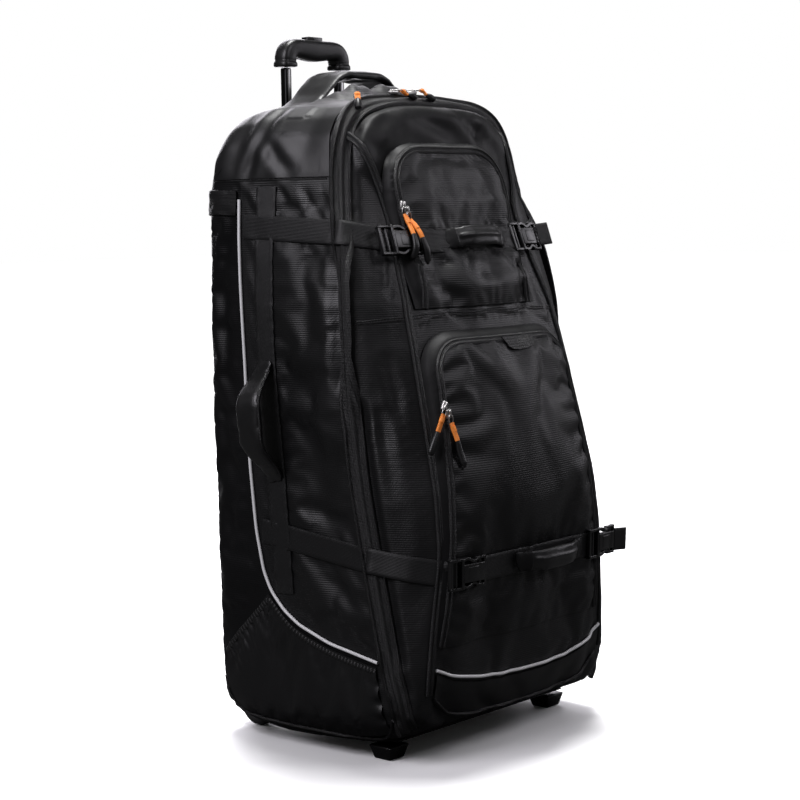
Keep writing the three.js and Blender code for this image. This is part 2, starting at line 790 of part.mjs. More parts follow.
// Padded arch whose feet lie on a surface and whose middle stands off it
function archSolid(places, width, thick, rise, side, sides, foot = STRAP_LIFT) {
  const rows = places.map((place, i) => {
    const share = i / (places.length - 1);
    const flat = 0.12;
    const bend = THREE.MathUtils.smoothstep(Math.min(share, 1 - share), flat * 0.6, 0.36);
    const stand = mix(foot, rise, bend);
    const fat = mix(2, thick, THREE.MathUtils.smoothstep(Math.min(share, 1 - share), 0.02, 0.2));
    const middle = place.point.clone().addScaledVector(place.normal, stand + fat / 2);
    const ring = [];
    for (let k = 0; k < sides; k += 1) {
      const angle = (2 * Math.PI * (k + 0.5)) / sides;
      const wide = Math.sign(Math.cos(angle)) * Math.abs(Math.cos(angle)) ** 0.45 * width / 2;
      const deep = Math.sign(Math.sin(angle)) * Math.abs(Math.sin(angle)) ** 0.6 * fat / 2;
      ring.push(middle.clone().addScaledVector(side, wide).addScaledVector(place.normal, deep));
    }
    return ring;
  });
  const position = [];
  const index = [];
  rows.forEach((ring) => ring.forEach((p) => position.push(p.x, p.y, p.z)));
  const count = rows[0].length;
  for (let r = 0; r + 1 < rows.length; r += 1) {
    for (let k = 0; k < count; k += 1) {
      const a = r * count + k;
      const b = r * count + ((k + 1) % count);
      index.push(a, b, a + count, b, b + count, a + count);
    }
  }
  for (let k = 1; k + 1 < count; k += 1) {
    index.push(0, k + 1, k);
    const far = (rows.length - 1) * count;
    index.push(far, far + k, far + k + 1);
  }
  return closedGeometry(position, index);
}

// Even places with one steady normal, so that an arch doesn't twist
function steady(places, normal) {
  return places.map((place) => ({ point: place.point, normal }));
}

const handleY = (z) => readTable(SIDE_WEBBING.map(([y, height]) => [height, y]), z, 1);
const handlePlaces = [];
for (let i = 0; i <= 14; i += 1) {
  const z = mix(SIDE_HANDLE_TOP, SIDE_HANDLE_LOW, i / 14);
  handlePlaces.push(onLeft(handleY(z), z));
}
const handleSide = new THREE.Vector3(0, 1, -0.12).normalize();
const outLeft = new THREE.Vector3(-1, 0, 0);
const sideHandle = archSolid(
  steady(handlePlaces, outLeft), SIDE_HANDLE_WIDTH, SIDE_HANDLE_THICK, SIDE_HANDLE_RISE, handleSide, 8,
);
addPiece("side_handle", sideHandle, "pad");

// Folded webbing loops behind the shoulders
const loopPlaces = [];
for (let i = 0; i <= 8; i += 1) loopPlaces.push(onLeft(mix(180, 143, i / 8), mix(826, 838, i / 8)));
const loopSide = new THREE.Vector3(0, 0.25, 0.97).normalize();
const loopSolid = archSolid(steady(loopPlaces, outLeft), 26, 3, 9, loopSide, 6, 0.5);
addPair("shoulder_loop", loopSolid, "webbing");

// Pocket panels: half width of the edge at a height, and how far the panel stands off the front
function pocketHalf([, , high, inset, , radius], z) {
  const base = frontHalf(z) - inset;
  const over = z - (high - radius);
  if (over <= 0) return base;
  return base - radius + Math.sqrt(Math.max(0, radius * radius - over * over));
}

function pocketPuff(swell, r, c) {
  return swell * Math.sin(Math.PI * c) ** 0.7 * (1 - r ** 4) * Math.min(1, r * 5);
}

function pocketStand(x, z) {
  for (const pocket of POCKETS) {
    const [, low, high, , swell] = pocket;
    if (z < low || z > high) continue;
    const half = pocketHalf(pocket, z);
    if (Math.abs(x) > half + POCKET_ZIP_WIDTH) continue;
    const c = THREE.MathUtils.clamp((x / half + 1) / 2, 0, 1);
    return PANEL_LIFT + LAYER_THICK + Math.max(1.5, pocketPuff(swell, (z - low) / (high - low), c));
  }
  return 0;
}

// Taut line over the front at one height: the hull of the bag and what lies on it
function tautLine(z) {
  const hull = [];
  const reach = mouthHalf(z);
  for (let i = 0; i <= 80; i += 1) {
    const x = mix(-reach, reach, i / 80);
    const place = onFront(x, z);
    if (!place) continue;
    const edge = Math.abs(Math.abs(x) - frontHalf(z)) < 12 ? 2 * FRONT_PIPING + 6 : 0;
    const spot = new THREE.Vector3(x, place.point.y - 1 - Math.max(edge, pocketStand(x, z)), z);
    while (hull.length > 1) {
      const a = hull[hull.length - 2];
      const b = hull[hull.length - 1];
      if ((b.x - a.x) * (spot.y - a.y) - (b.y - a.y) * (spot.x - a.x) > 0) break;
      hull.pop();
    }
    hull.push(spot);
  }
  return hull;
}

// Point of a taut line at a given distance across the bag
function onLine(line, x) {
  const i = Math.max(1, line.findIndex((p) => p.x >= x));
  const share = (x - line[i - 1].x) / (line[i].x - line[i - 1].x);
  return new THREE.Vector3().lerpVectors(line[i - 1], line[i], share);
}

// Lower and upper edges of each strap's line over the front
const strapLines = STRAPS.map(([, , , z]) => [tautLine(z - WEBBING / 2), tautLine(z + WEBBING / 2)]);

// Frame of a strap at a distance across the bag: middle, along, up and out
function strapFrame(s, x) {
  const [low, high] = strapLines[s].map((line) => onLine(line, x));
  const [before, after] = [x - 5, x + 5].map((at) => {
    return onLine(strapLines[s][0], at).add(onLine(strapLines[s][1], at));
  });
  const along = after.sub(before).normalize();
  const up = high.clone().sub(low).normalize();
  const out = along.clone().cross(up).normalize();
  const middle = low.clone().add(high).multiplyScalar(0.5);
  return { along, up: out.clone().cross(along).normalize(), out, middle };
}

// Strip between two lists of edge points, one strap thick, on the outer side
function stripSolid(lows, highs) {
  const grid = lows.map((low, i) => {
    const before = lows[Math.max(0, i - 1)];
    const after = lows[Math.min(lows.length - 1, i + 1)];
    const normal = after.clone().sub(before).cross(highs[i].clone().sub(low)).normalize();
    return [{ point: low, normal }, { point: highs[i], normal }];
  });
  return sheetSolid(grid, 0.3, STRAP_THICK);
}

// Seat of each buckle on its strap's line, and the two points where the webbing meets its ends
const seats = BUCKLES.map(([, s, x]) => {
  const frame = strapFrame(s, x);
  const half = BUCKLE_LENGTH / 2;
  const ends = [x - half + 2, x, x + half - 2].map((at) => {
    return onLine(strapLines[s][0], at).sub(frame.middle).dot(frame.out);
  });
  const seat = frame.middle.clone().addScaledVector(frame.out, Math.max(0, ...ends) + 2.5);
  const meet = (side) => {
    const end = seat.clone().addScaledVector(frame.along, side * (half + SEAT_GAP));
    end.addScaledVector(frame.out, 2);
    return [-1, 1].map((edge) => end.clone().addScaledVector(frame.up, (edge * WEBBING) / 2));
  };
  return { ...frame, seat, before: meet(-1), after: meet(1) };
});

STRAPS.forEach(([name, startZ, zipZ, frontZ, startY], s) => {
  const half = WEBBING / 2;
  const [leftX, rightX] = [BUCKLES[2 * s][2], BUCKLES[2 * s + 1][2]];
  const edgeY = zipY(zipZ);
  const edgeX = mouthHalf(zipZ);
  const sideLow = [];
  const sideHigh = [];
  const addSide = (y, z, lift) => {
    [[sideLow, -half], [sideHigh, half]].forEach(([list, dz]) => {
      const p = onLeft(Math.max(y, zipY(z + dz) + 1), z + dz).point;
      list.push(new THREE.Vector3(p.x - lift, y, p.z));
    });
  };
  const sideSteps = 7;
  for (let i = 0; i < sideSteps; i += 1) {
    const share = i / sideSteps;
    addSide(mix(startY, edgeY + 6, share), mix(startZ, zipZ, share), STRAP_LIFT);
  }
  addSide(edgeY + 4, zipZ, STRAP_LIFT);
  addSide(edgeY - 5, zipZ, STRAP_LIFT);
  for (const side of [-1, 1]) {
    const stopX = side < 0 ? leftX - BUCKLE_LENGTH / 2 - 0.6 : -rightX - BUCKLE_LENGTH / 2 - 0.6;
    const lows = sideLow.map((p) => p.clone());
    const highs = sideHigh.map((p) => p.clone());
    for (const share of [0.06, 0.3, 0.65]) {
      const x = mix(-edgeX, stopX, share);
      [[lows, 0], [highs, 1]].forEach(([list, edge]) => {
        const p = onLine(strapLines[s][edge], side < 0 ? x : -x);
        list.push(new THREE.Vector3(x, p.y - 0.6, p.z + (zipZ - frontZ) * (1 - share)));
      });
    }
    const [low, high] = side < 0 ? seats[2 * s].before : seats[2 * s + 1].after;
    lows.push(new THREE.Vector3(-side * low.x, low.y, low.z));
    highs.push(new THREE.Vector3(-side * high.x, high.y, high.z));
    const strip = stripSolid(lows, highs);
    const word = side < 0 ? "left" : "right";
    addPiece(`${name}_strap_${word}`, side < 0 ? strip : mirrored(strip), "webbing");
  }
  const lows = [seats[2 * s].after[0]];
  const highs = [seats[2 * s].after[1]];
  for (let i = 1; i < 12; i += 1) {
    const x = mix(leftX + BUCKLE_LENGTH / 2, rightX - BUCKLE_LENGTH / 2, i / 12);
    lows.push(onLine(strapLines[s][0], x));
    highs.push(onLine(strapLines[s][1], x));
  }
  lows.push(seats[2 * s + 1].before[0]);
  highs.push(seats[2 * s + 1].before[1]);
  addPiece(`${name}_strap_front`, stripSolid(lows, highs), "webbing");
});

// Side release buckles, a waisted block lying along the strap
BUCKLES.forEach(([name], b) => {
  const half = BUCKLE_LENGTH / 2;
  const tall = BUCKLE_HEIGHT / 2;
  const quarter = [[half, 0], [half, tall - 5], [half - 5, tall], [8, tall], [0, tall - 6]];
  const outline = new THREE.Shape();
  const corners = [
    ...quarter,
    ...quarter.slice(0, 4).reverse().map(([u, v]) => [-u, v]),
    ...quarter.slice(1).map(([u, v]) => [-u, -v]),
    ...quarter.slice(1, 4).reverse().map(([u, v]) => [u, -v]),
  ];
  corners.forEach(([u, v], i) => (i === 0 ? outline.moveTo(u, v) : outline.lineTo(u, v)));
  const body = new THREE.ExtrudeGeometry(outline, {
    depth: BUCKLE_DEPTH - 4,
    bevelThickness: 2,
    bevelSize: 2,
    bevelOffset: -2,
    bevelSegments: 1,
    curveSegments: 1,
  });
  const { along, up, out, seat } = seats[b];
  body.applyMatrix4(new THREE.Matrix4().makeBasis(along, up, out).setPosition(seat));
  addPiece(name, body, "plastic");
});

// Padded grab handles sewn to the front stretches
GRIP_PADS.forEach(([name, s, middle, length]) => {
  const frame = strapFrame(s, middle);
  const places = [];
  for (let i = 0; i <= 12; i += 1) {
    const p = strapFrame(s, mix(middle - length / 2, middle + length / 2, i / 12)).middle;
    places.push({ point: p.addScaledVector(frame.out, STRAP_THICK + 1.2 - STRAP_LIFT), normal: frame.out });
  }
  addPiece(name, archSolid(places, GRIP_PAD_WIDTH, GRIP_PAD_THICK, GRIP_PAD_RISE, frame.up, 6), "pad");
});

// Free strap ends that stand out beyond the right buckles
STRAPS.forEach(([name], s) => {
  const { along, up, out, seat } = seats[2 * s + 1];
  const lows = [];
  const highs = [];
  for (let i = 0; i <= 5; i += 1) {
    const p = seat.clone().addScaledVector(out, BUCKLE_DEPTH - 1.9 + 0.3 * i * i);
    p.addScaledVector(along, BUCKLE_LENGTH / 2 - 12 + 4.4 * i);
    lows.push(p.clone().addScaledVector(up, -TAIL_WIDTH / 2));
    highs.push(p.clone().addScaledVector(up, TAIL_WIDTH / 2));
  }
  addPiece(`${name}_strap_tail`, stripSolid(lows, highs), "webbing");
});

// Piping down each edge of the raised front: out of the mouth's upper corner, then along the edge
["left", "right"].forEach((name, side) => {
  const sign = side === 0 ? -1 : 1;
  const places = PIPING_HEAD.map(([x, z]) => {
    const out = new THREE.Vector3(sign * 0.45, -1, 0.1).normalize();
    return { point: onFront(sign * x, z).point, normal: out };
  });
  for (let z = 780; z >= PIPING_LOW; z -= 26) {
    const out = new THREE.Vector3(sign * 0.75, -1, 0).normalize();
    const edge = new THREE.Vector3(sign * frontHalf(z), frontY(z), z);
    const place = touch(edge.addScaledVector(out, 120), out.clone().negate());
    places.push({ point: place.point, normal: out });
  }
  addPiece(`front_piping_${name}`, cordSolid(places, FRONT_PIPING, 5, 20, 1.8), "zip");
});

// Pockets: a swelling panel on the front and the zip that runs round it in an inverted U
function pocketEdge(pocket, steps) {
  const [, low, high, , , radius] = pocket;
  const heights = [];
  const bend = high - radius;
  for (let i = 0; i < steps; i += 1) heights.push(mix(low, bend, i / steps));
  for (const turn of [0, 22, 45, 68, 90]) {
    heights.push(bend + radius * Math.sin(THREE.MathUtils.degToRad(turn)));
  }
  return heights.map((z) => [z, pocketHalf(pocket, z)]);
}

POCKETS.forEach((pocket) => {
  const [name, low, high, inset, swell, radius, lift] = pocket;
  const inner = POCKET_ZIP_WIDTH / 2 + 2.6;
  const steps = name === "lower_pocket" ? 7 : 4;
  const panelEdge = pocketEdge([name, low, high - inner, inset + inner, swell, radius - inner], steps);
  const shares = [-1, -0.75, -0.35, 0, 0.35, 0.75, 1];
  const grid = panelEdge.map(([z, half]) => shares.map((share) => onFront(share * half, z)));
  const puffs = panelEdge.map(([z]) => (z - low) / (high - low));
  const last = panelEdge.length - 1;
  const puff = (r, c) => pocketPuff(swell, puffs[Math.round(r * last)], c);
  addPiece(name, sheetSolid(grid, lift, LAYER_THICK, puff), "ripstop");
  const edge = pocketEdge(pocket, steps);
  const path = edge.map(([z, half]) => [-half, z]);
  const topHalf = edge[edge.length - 1][1];
  const over = [0.6, 0.2, -0.2, -0.6].map((share) => [-topHalf * share, high]);
  const full = [...path, ...over, ...path.slice().reverse().map(([x, z]) => [-x, z])];
  const band = bandGrid(pathPoints(full, 30), POCKET_ZIP_WIDTH, 1, onFront);
  addPiece(`${name}_zip`, sheetSolid(band, PANEL_LIFT + 0.4, 1.8), "zip");
});

// Half round tab over the middle of the lower pocket's zip
const tabZ = POCKETS[1][2] - POCKET_ZIP_WIDTH / 2 - 4;
const pocketMesh = group.children.find((mesh) => mesh.name === "lower_pocket");
const onPocket = (x, z) => {
  caster.set(new THREE.Vector3(x, -REACH, z), new THREE.Vector3(0, 1, 0));
  const hit = caster.intersectObject(pocketMesh, false)[0];
  return hit ? { point: hit.point.clone(), normal: hit.normal.clone().normalize() } : onFront(x, z);
};
const tabGrid = [0, 0.35, 0.65, 0.85, 0.97].map((drop) => [-1, -0.5, 0, 0.5, 1].map((share) => {
  const half = TAB_RADIUS * Math.sqrt(1 - drop * drop);
  return onPocket(24 + share * half, tabZ - 4 - drop * 24);
}));
addPiece("lower_pocket_tab", sheetSolid(tabGrid, 0.8, LAYER_THICK), "coated");

// Kick panel and the pale piping above it
const kickGrid = KICK_PANEL.map(([x, low, high]) => {
  return [low, mix(low, high, 0.5), high].map((z) => onFront(x, z));
});
addPiece("kick_panel", sheetSolid(kickGrid, PANEL_LIFT, LAYER_THICK), "coated");
const kickLine = KICK_PANEL.map(([x, , high]) => [x, high + 2 * PIPING_RADIUS + 1.5]);
const kickPlaces = pathPoints(kickLine, 20).map((p) => onFront(p.x, p.y));
addPiece("kick_piping", cordSolid(kickPlaces, PIPING_RADIUS, 5, 18, 0.6), "piping");

// Zip pulls: a flat loop of cord hanging from its slider
PULLS.forEach(([name, face, across, at, swing]) => {
  const find = face === "top" ? onTop : onFront;
  const place = find(across, at);
  const out = face === "top" ? new THREE.Vector3(0, 0, 1) : new THREE.Vector3(0, -1, 0);
  const turn = THREE.MathUtils.degToRad(swing);
  const hang = new THREE.Vector3(Math.sin(turn), 0, -Math.cos(turn));
  if (face === "top") hang.set(Math.sin(turn), -Math.cos(turn), 0);
  const length = face === "top" ? PULL_LENGTH * 0.48 : PULL_LENGTH;
  let lift = 0;
  for (let i = 0; i <= 24; i += 1) {
    for (const side of [-0.5, -0.25, 0, 0.25, 0.5]) {
      const spot = place.point.clone().addScaledVector(hang, (length * i) / 24);
      spot.add(hang.clone().cross(out).multiplyScalar(side * PULL_WIDTH));
      caster.set(spot.addScaledVector(out, REACH), out.clone().negate());
      const under = caster.intersectObjects(group.children, false)[0];
      lift = Math.max(lift, under.point.clone().sub(place.point).dot(out));
    }
  }
  const shape = new THREE.Shape();
  const half = PULL_WIDTH / 2;
  shape.moveTo(-half * 0.7, 0);
  shape.lineTo(half * 0.7, 0);
  shape.lineTo(half, -length * 0.3);
  shape.lineTo(half * 0.8, -length);
  shape.lineTo(-half * 0.8, -length);
  shape.lineTo(-half, -length * 0.3);
  const body = new THREE.ExtrudeGeometry(shape, { depth: PULL_THICK, bevelEnabled: false });
  const up = hang.clone().negate();
  const right = up.clone().cross(out);
  const seat = place.point.clone().addScaledVector(out, lift + SEAT_GAP);
  body.applyMatrix4(new THREE.Matrix4().makeBasis(right, up, out).setPosition(seat));
  addPiece(name, body, "cord");
});

// Padded carry handle on the top, behind the middle
const topPlaces = [];
for (let i = 0; i <= 14; i += 1) {
  topPlaces.push(onTop(mix(-TOP_HANDLE_REACH, TOP_HANDLE_REACH, i / 14), TOP_HANDLE_Y));
}
const topUp = new THREE.Vector3(0, 0, 1);
topPlaces.forEach((place) => { place.point.addScaledVector(topUp, 2.3 - STRAP_LIFT + LAYER_LIFT); });
const topSide = new THREE.Vector3(0, 1, 0);
const topHandle = archSolid(
  steady(topPlaces, topUp), TOP_HANDLE_WIDTH, TOP_HANDLE_THICK, TOP_HANDLE_RISE, topSide, 8,
);
addPiece("top_handle", topHandle, "pad");

// Telescopic handle: two square legs, the grip that joins them and its button
for (const side of [-1, 1]) {
  const word = side < 0 ? "left" : "right";
  const half = LEG_SIZE / 2;
  const x = side * LEG_SPREAD;
  const inner = half + SLEEVE_GAP;
  const outer = inner + SLEEVE_WALL;
  const barBetween = (size, low, high) => {
    return boxBetween(x - size, x + size, LEG_Y - size, LEG_Y + size, low, high);
  };
  addPiece(`trolley_leg_${word}`, barBetween(half, LEG_LOW, LEG_TOP), "leg");
  const tube = barBetween(outer, SLEEVE_LOW, SLEEVE_TOP);
  const bore = barBetween(inner, SLEEVE_LOW - 5, SLEEVE_TOP + 5);
  addPiece(`trolley_sleeve_${word}`, toGeometry(toSolid(tube).subtract(toSolid(bore))), "leg");
}
const gripLow = LEG_TOP + 0.4;
const gripShape = new THREE.Shape();
const gripRound = 30;
gripShape.moveTo(-GRIP_HALF + 2, gripLow);
gripShape.lineTo(-GRIP_HALF, GRIP_TOP - gripRound);
gripShape.quadraticCurveTo(-GRIP_HALF, GRIP_TOP - 3, -GRIP_HALF + gripRound, GRIP_TOP - 2);
gripShape.quadraticCurveTo(0, GRIP_TOP + 2, GRIP_HALF - gripRound, GRIP_TOP - 2);
gripShape.quadraticCurveTo(GRIP_HALF, GRIP_TOP - 3, GRIP_HALF, GRIP_TOP - gripRound);
gripShape.lineTo(GRIP_HALF - 2, gripLow);
gripShape.lineTo(GRIP_HALF - GRIP_EAR - 8, gripLow);
const barLow = GRIP_TOP - GRIP_BAR;
const earX = GRIP_HALF - GRIP_EAR;
gripShape.quadraticCurveTo(earX - 10, barLow + 1, earX - 26, barLow);
gripShape.quadraticCurveTo(0, barLow - 5, -earX + 26, barLow);
gripShape.quadraticCurveTo(-earX + 10, barLow + 1, -earX + 8, gripLow);
const grip = new THREE.ExtrudeGeometry(gripShape, {
  depth: GRIP_DEPTH,
  bevelThickness: GRIP_BEVEL,
  bevelSize: GRIP_BEVEL,
  bevelOffset: -GRIP_BEVEL,
  bevelSegments: 1,
  curveSegments: 4,
});
grip.rotateX(Math.PI / 2).translate(0, LEG_Y + GRIP_DEPTH / 2, 0);
const blockAbout = (wide, deep, low, high) => boxBetween(-wide, wide, LEG_Y - deep, LEG_Y + deep, low, high);
const recessLow = GRIP_TOP - BUTTON_SINK - 4;
const recess = blockAbout(BUTTON_HALF + 0.6, BUTTON_DEPTH / 2 + 0.6, recessLow, GRIP_TOP + 6);
addPiece("trolley_grip", toGeometry(toSolid(grip).subtract(toSolid(recess))), "plastic");
const button = blockAbout(BUTTON_HALF, BUTTON_DEPTH / 2, GRIP_TOP - BUTTON_SINK, GRIP_TOP + BUTTON_RISE);
addPiece("trolley_button", button, "plastic");

// Hard base under the shell, with its two front feet
const lowFirst = 2 * SIDE_STEPS + 3 * CORNER_STEPS + EDGE_STEPS;
const trayGrid = [4.6, 5, 6, 7, 8, 9].map((row) => {
  const points = [];
  for (let i = 0; i <= EDGE_STEPS; i += 1) points.push(onShell(row, lowFirst + i));
  return points;
});
addPiece("base_tray", sheetSolid(trayGrid, LAYER_LIFT, TRAY_THICK), "plastic");
for (const side of [-1, 1]) {
  const word = side < 0 ? "left" : "right";
  const ceiling = Math.min(...[-20, 20].map((dy) => onBottom(side * FOOT_X, FOOT_Y + dy).point.z));
  const height = ceiling - LAYER_LIFT - TRAY_THICK - 0.5;
  const [wide, narrow] = [FOOT_TOP_SIZE / Math.SQRT2, FOOT_LOW_SIZE / Math.SQRT2];
  const block = new THREE.CylinderGeometry(wide, narrow, height, 4);
  block.rotateY(Math.PI / 4).rotateX(Math.PI / 2).translate(side * FOOT_X, FOOT_Y, height / 2);
  addPiece(`foot_${word}`, block, "plastic");
}

// Wheels in their housings: each housing carries its own axle
for (const side of [-1, 1]) {
  const word = side < 0 ? "left" : "right";
  const x = side * WHEEL_X;
  const inner = HOUSING_HALF - HOUSING_WALL;
  const cup = toSolid(boxBetween(
    x - HOUSING_HALF, x + HOUSING_HALF, HOUSING_FRONT, BACK_Y + 20, 0, HOUSING_TOP,
  ));
  const room = toSolid(boxBetween(
    x - inner, x + inner, HOUSING_FRONT + HOUSING_WALL, BACK_Y + 60, -40, HOUSING_TOP - HOUSING_WALL,
  ));
  const axle = toSolid(barAlongX(x - inner - 1, x + inner + 1, WHEEL_Y, WHEEL_RADIUS, AXLE_RADIUS, 12));
  let housing = cup.subtract(room).intersect(fullBody).add(axle);
  for (const end of [-1, 1]) {
    const near = x + end * (WHEEL_WIDTH / 2 + 0.5);
    const far = x + end * (inner + 1);
    const boss = barAlongX(Math.min(near, far), Math.max(near, far), WHEEL_Y, WHEEL_RADIUS, 10, 12);
    housing = housing.add(toSolid(boss));
  }
  addPiece(`wheel_housing_${word}`, toGeometry(housing), "plastic");
  const profile = [
    [AXLE_RADIUS + 0.5, -WHEEL_WIDTH / 2],
    [WHEEL_RADIUS - 5, -WHEEL_WIDTH / 2],
    [WHEEL_RADIUS, -WHEEL_WIDTH / 2 + 6],
    [WHEEL_RADIUS, WHEEL_WIDTH / 2 - 6],
    [WHEEL_RADIUS - 5, WHEEL_WIDTH / 2],
    [AXLE_RADIUS + 0.5, WHEEL_WIDTH / 2],
    [AXLE_RADIUS + 0.5, -WHEEL_WIDTH / 2],
  ].map(([r, h]) => new THREE.Vector2(r, h));
  const wheel = new THREE.LatheGeometry(profile, 18);
  wheel.rotateZ(Math.PI / 2).translate(x, WHEEL_Y, WHEEL_RADIUS);
  addPiece(`wheel_${word}`, wheel, "tyre");
}

// Frame on the floor, under the middle of the whole
group.children.forEach((mesh) => mesh.geometry.translate(FRAME_X, FRAME_Y, 0));

export default group;
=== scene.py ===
import math

import bpy
import numpy as np
from mathutils import Matrix, Vector
from mathutils.bvhtree import BVHTree
from mathutils.kdtree import KDTree


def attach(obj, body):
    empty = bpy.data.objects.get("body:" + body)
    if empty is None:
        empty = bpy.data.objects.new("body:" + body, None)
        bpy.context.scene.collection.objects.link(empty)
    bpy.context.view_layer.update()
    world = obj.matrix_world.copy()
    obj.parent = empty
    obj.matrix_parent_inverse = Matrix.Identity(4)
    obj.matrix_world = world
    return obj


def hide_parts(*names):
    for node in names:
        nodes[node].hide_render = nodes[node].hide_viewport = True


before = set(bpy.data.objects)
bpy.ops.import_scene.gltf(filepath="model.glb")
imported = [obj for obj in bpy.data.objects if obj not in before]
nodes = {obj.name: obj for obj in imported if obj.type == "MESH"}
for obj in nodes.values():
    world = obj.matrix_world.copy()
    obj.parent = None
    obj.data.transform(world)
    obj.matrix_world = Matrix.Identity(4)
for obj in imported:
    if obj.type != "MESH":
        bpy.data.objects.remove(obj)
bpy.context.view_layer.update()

# Camera
# A long lens in front of the bag's left side, a little above its middle,
# tipped slightly down and rolled by one degree.
CAMERA_TURN = math.radians(-48.46)
CAMERA_TIP = math.radians(5.46)
CAMERA_ROLL = math.radians(-1.0)
CAMERA_PLACE = Vector((-2.2462, -1.958, 0.8054))
CAMERA_LENS = 85.5
CAMERA_SENSOR = 36
bpy.ops.object.camera_add(location=CAMERA_PLACE)
camera = bpy.context.object
camera.data.sensor_width = CAMERA_SENSOR
camera.data.lens = CAMERA_LENS
forward = Vector((
    -math.sin(CAMERA_TURN) * math.cos(CAMERA_TIP),
    math.cos(CAMERA_TURN) * math.cos(CAMERA_TIP),
    -math.sin(CAMERA_TIP),
))
level = Vector((math.cos(CAMERA_TURN), math.sin(CAMERA_TURN), 0))
upright = level.cross(forward)
across = level * math.cos(CAMERA_ROLL) + upright * math.sin(CAMERA_ROLL)
over = upright * math.cos(CAMERA_ROLL) - level * math.sin(CAMERA_ROLL)
camera.rotation_euler = Matrix((across, over, -forward)).transposed().to_euler()
bpy.context.scene.camera = camera

# Floor and light
# A pale floor that runs out to a white surround, under a wide soft light from above,
# a key light on the left, weaker ones in front and on the right, and a large one behind.
FLOOR_SEEN, FLOOR_BOUNCE = 0.985, 0.04
SURROUND_SEEN, SURROUND_MIRRORED, SURROUND_ON_MATT = 1.0, 0.05, 0.10
TOP_POWER, TOP_SPREAD, TOP_AIM = 4.2, math.radians(20), Vector((-0.20, -0.17, -1))
LIGHT_TINT = (0.96, 0.93, 1.0)
# Lights: name, place, aim, size, power
LIGHTS = [
    ("key_soft", (-2.5, 0.1, 2.3), (0, 0, 0.85), 1.5, 58),
    ("front_soft", (0.5, -2.4, 2.5), (0, 0, 0.9), 1.2, 20),
    ("back_soft", (2.0, 2.7, 1.7), (0, 0, 0.5), 3.0, 130),
    ("right_soft", (2.8, -1.2, 1.6), (0, 0, 0.6), 1.2, 14),
]
bpy.context.scene.view_settings.view_transform = "Standard"
bpy.ops.mesh.primitive_plane_add(size=60, location=(0, 0, -0.0005))
floor = bpy.context.object
floor.name = "floor"
floor_paint = bpy.data.materials.new("pale_floor")
floor_paint.use_nodes = True
floor_tree = floor_paint.node_tree
floor_shader = floor_tree.nodes["Principled BSDF"]
floor_shader.inputs["Roughness"].default_value = 0.7
floor_shader.inputs["Specular IOR Level"].default_value = 0.1
# The floor is pale to look at, and throws little light back up at the bag.
floor_sight = floor_tree.nodes.new("ShaderNodeLightPath")
floor_shade = floor_tree.nodes.new("ShaderNodeMix")
floor_shade.data_type = "RGBA"
floor_shade.inputs["A"].default_value = (FLOOR_BOUNCE, FLOOR_BOUNCE, FLOOR_BOUNCE, 1)
floor_shade.inputs["B"].default_value = (FLOOR_SEEN, FLOOR_SEEN, FLOOR_SEEN, 1)
floor_tree.links.new(floor_sight.outputs["Is Camera Ray"], floor_shade.inputs["Factor"])
floor_tree.links.new(floor_shade.outputs["Result"], floor_shader.inputs["Base Color"])
floor.data.materials.append(floor_paint)
surround = bpy.data.worlds.new("white_surround")
surround.use_nodes = True
sky = surround.node_tree
ray_kind = sky.nodes.new("ShaderNodeLightPath")
brightness = sky.nodes.new("ShaderNodeMapRange")
brightness.inputs["To Min"].default_value = SURROUND_MIRRORED
brightness.inputs["To Max"].default_value = SURROUND_SEEN
sky.links.new(ray_kind.outputs["Is Camera Ray"], brightness.inputs["Value"])
# Cloth and plastic mirror little of the surround, and pale pieces are lit by a little more of it.
matt_share = sky.nodes.new("ShaderNodeMath")
matt_share.operation = "MULTIPLY_ADD"
matt_share.inputs[1].default_value = SURROUND_ON_MATT
sky.links.new(ray_kind.outputs["Is Diffuse Ray"], matt_share.inputs[0])
sky.links.new(brightness.outputs["Result"], matt_share.inputs[2])
sky.links.new(matt_share.outputs[0], sky.nodes["Background"].inputs["Strength"])
sky.nodes["Background"].inputs["Color"].default_value = (1, 1, 1, 1)
bpy.context.scene.world = surround
bpy.ops.object.light_add(type="SUN", location=(0, 0, 4))
top_light = bpy.context.object
top_light.name = "top_soft"
top_light.data.energy = TOP_POWER
top_light.data.angle = TOP_SPREAD
top_light.rotation_euler = TOP_AIM.to_track_quat("-Z", "Y").to_euler()
for light_name, place, aim, size, power in LIGHTS:
    bpy.ops.object.light_add(type="AREA", location=place)
    light = bpy.context.object
    light.name = light_name
    light.data.size = size
    light.data.energy = power
    light.data.color = LIGHT_TINT
    light.rotation_euler = (Vector(aim) - Vector(place)).to_track_quat("-Z", "Y").to_euler()

# Main shell
# The bag's back, sides, top and bottom: thin coated ripstop over foam, cut in panels and sewn at its edges.
# The outer face of the CAD wall is meshed evenly, then let out as slack cloth held along its seams.
MID_X, MIDDLE = 20, 0.02
HALF_WIDTH = 247.5
SHELL_HEART = Vector((0.02, 0.11, 0.48))
SHELL_MESH = 0.006
CLOTH_STEPS = 16
# Side piping, upright webbing and lower corner edge on the sides: depth, height in mm
SIDE_PIPING = [
    (154, 838), (150, 720), (143, 570), (135, 432), (125, 332), (112, 271),
    (97, 241), (70, 214), (39, 195), (-23, 175), (-120, 159),
]
SIDE_WEBBING = [(103, 856), (101, 720), (97, 594), (80, 411), (72, 300), (68, 240)]
CORNER_EDGE = [
    (204, 138), (172, 172), (140, 201), (120, 219), (104, 236), (82, 213),
    (56, 193), (20, 178), (-30, 165), (-75, 157), (-116, 151),
]
YOKE_EDGE = [(240, 868), (100, 869), (-26, 868)]
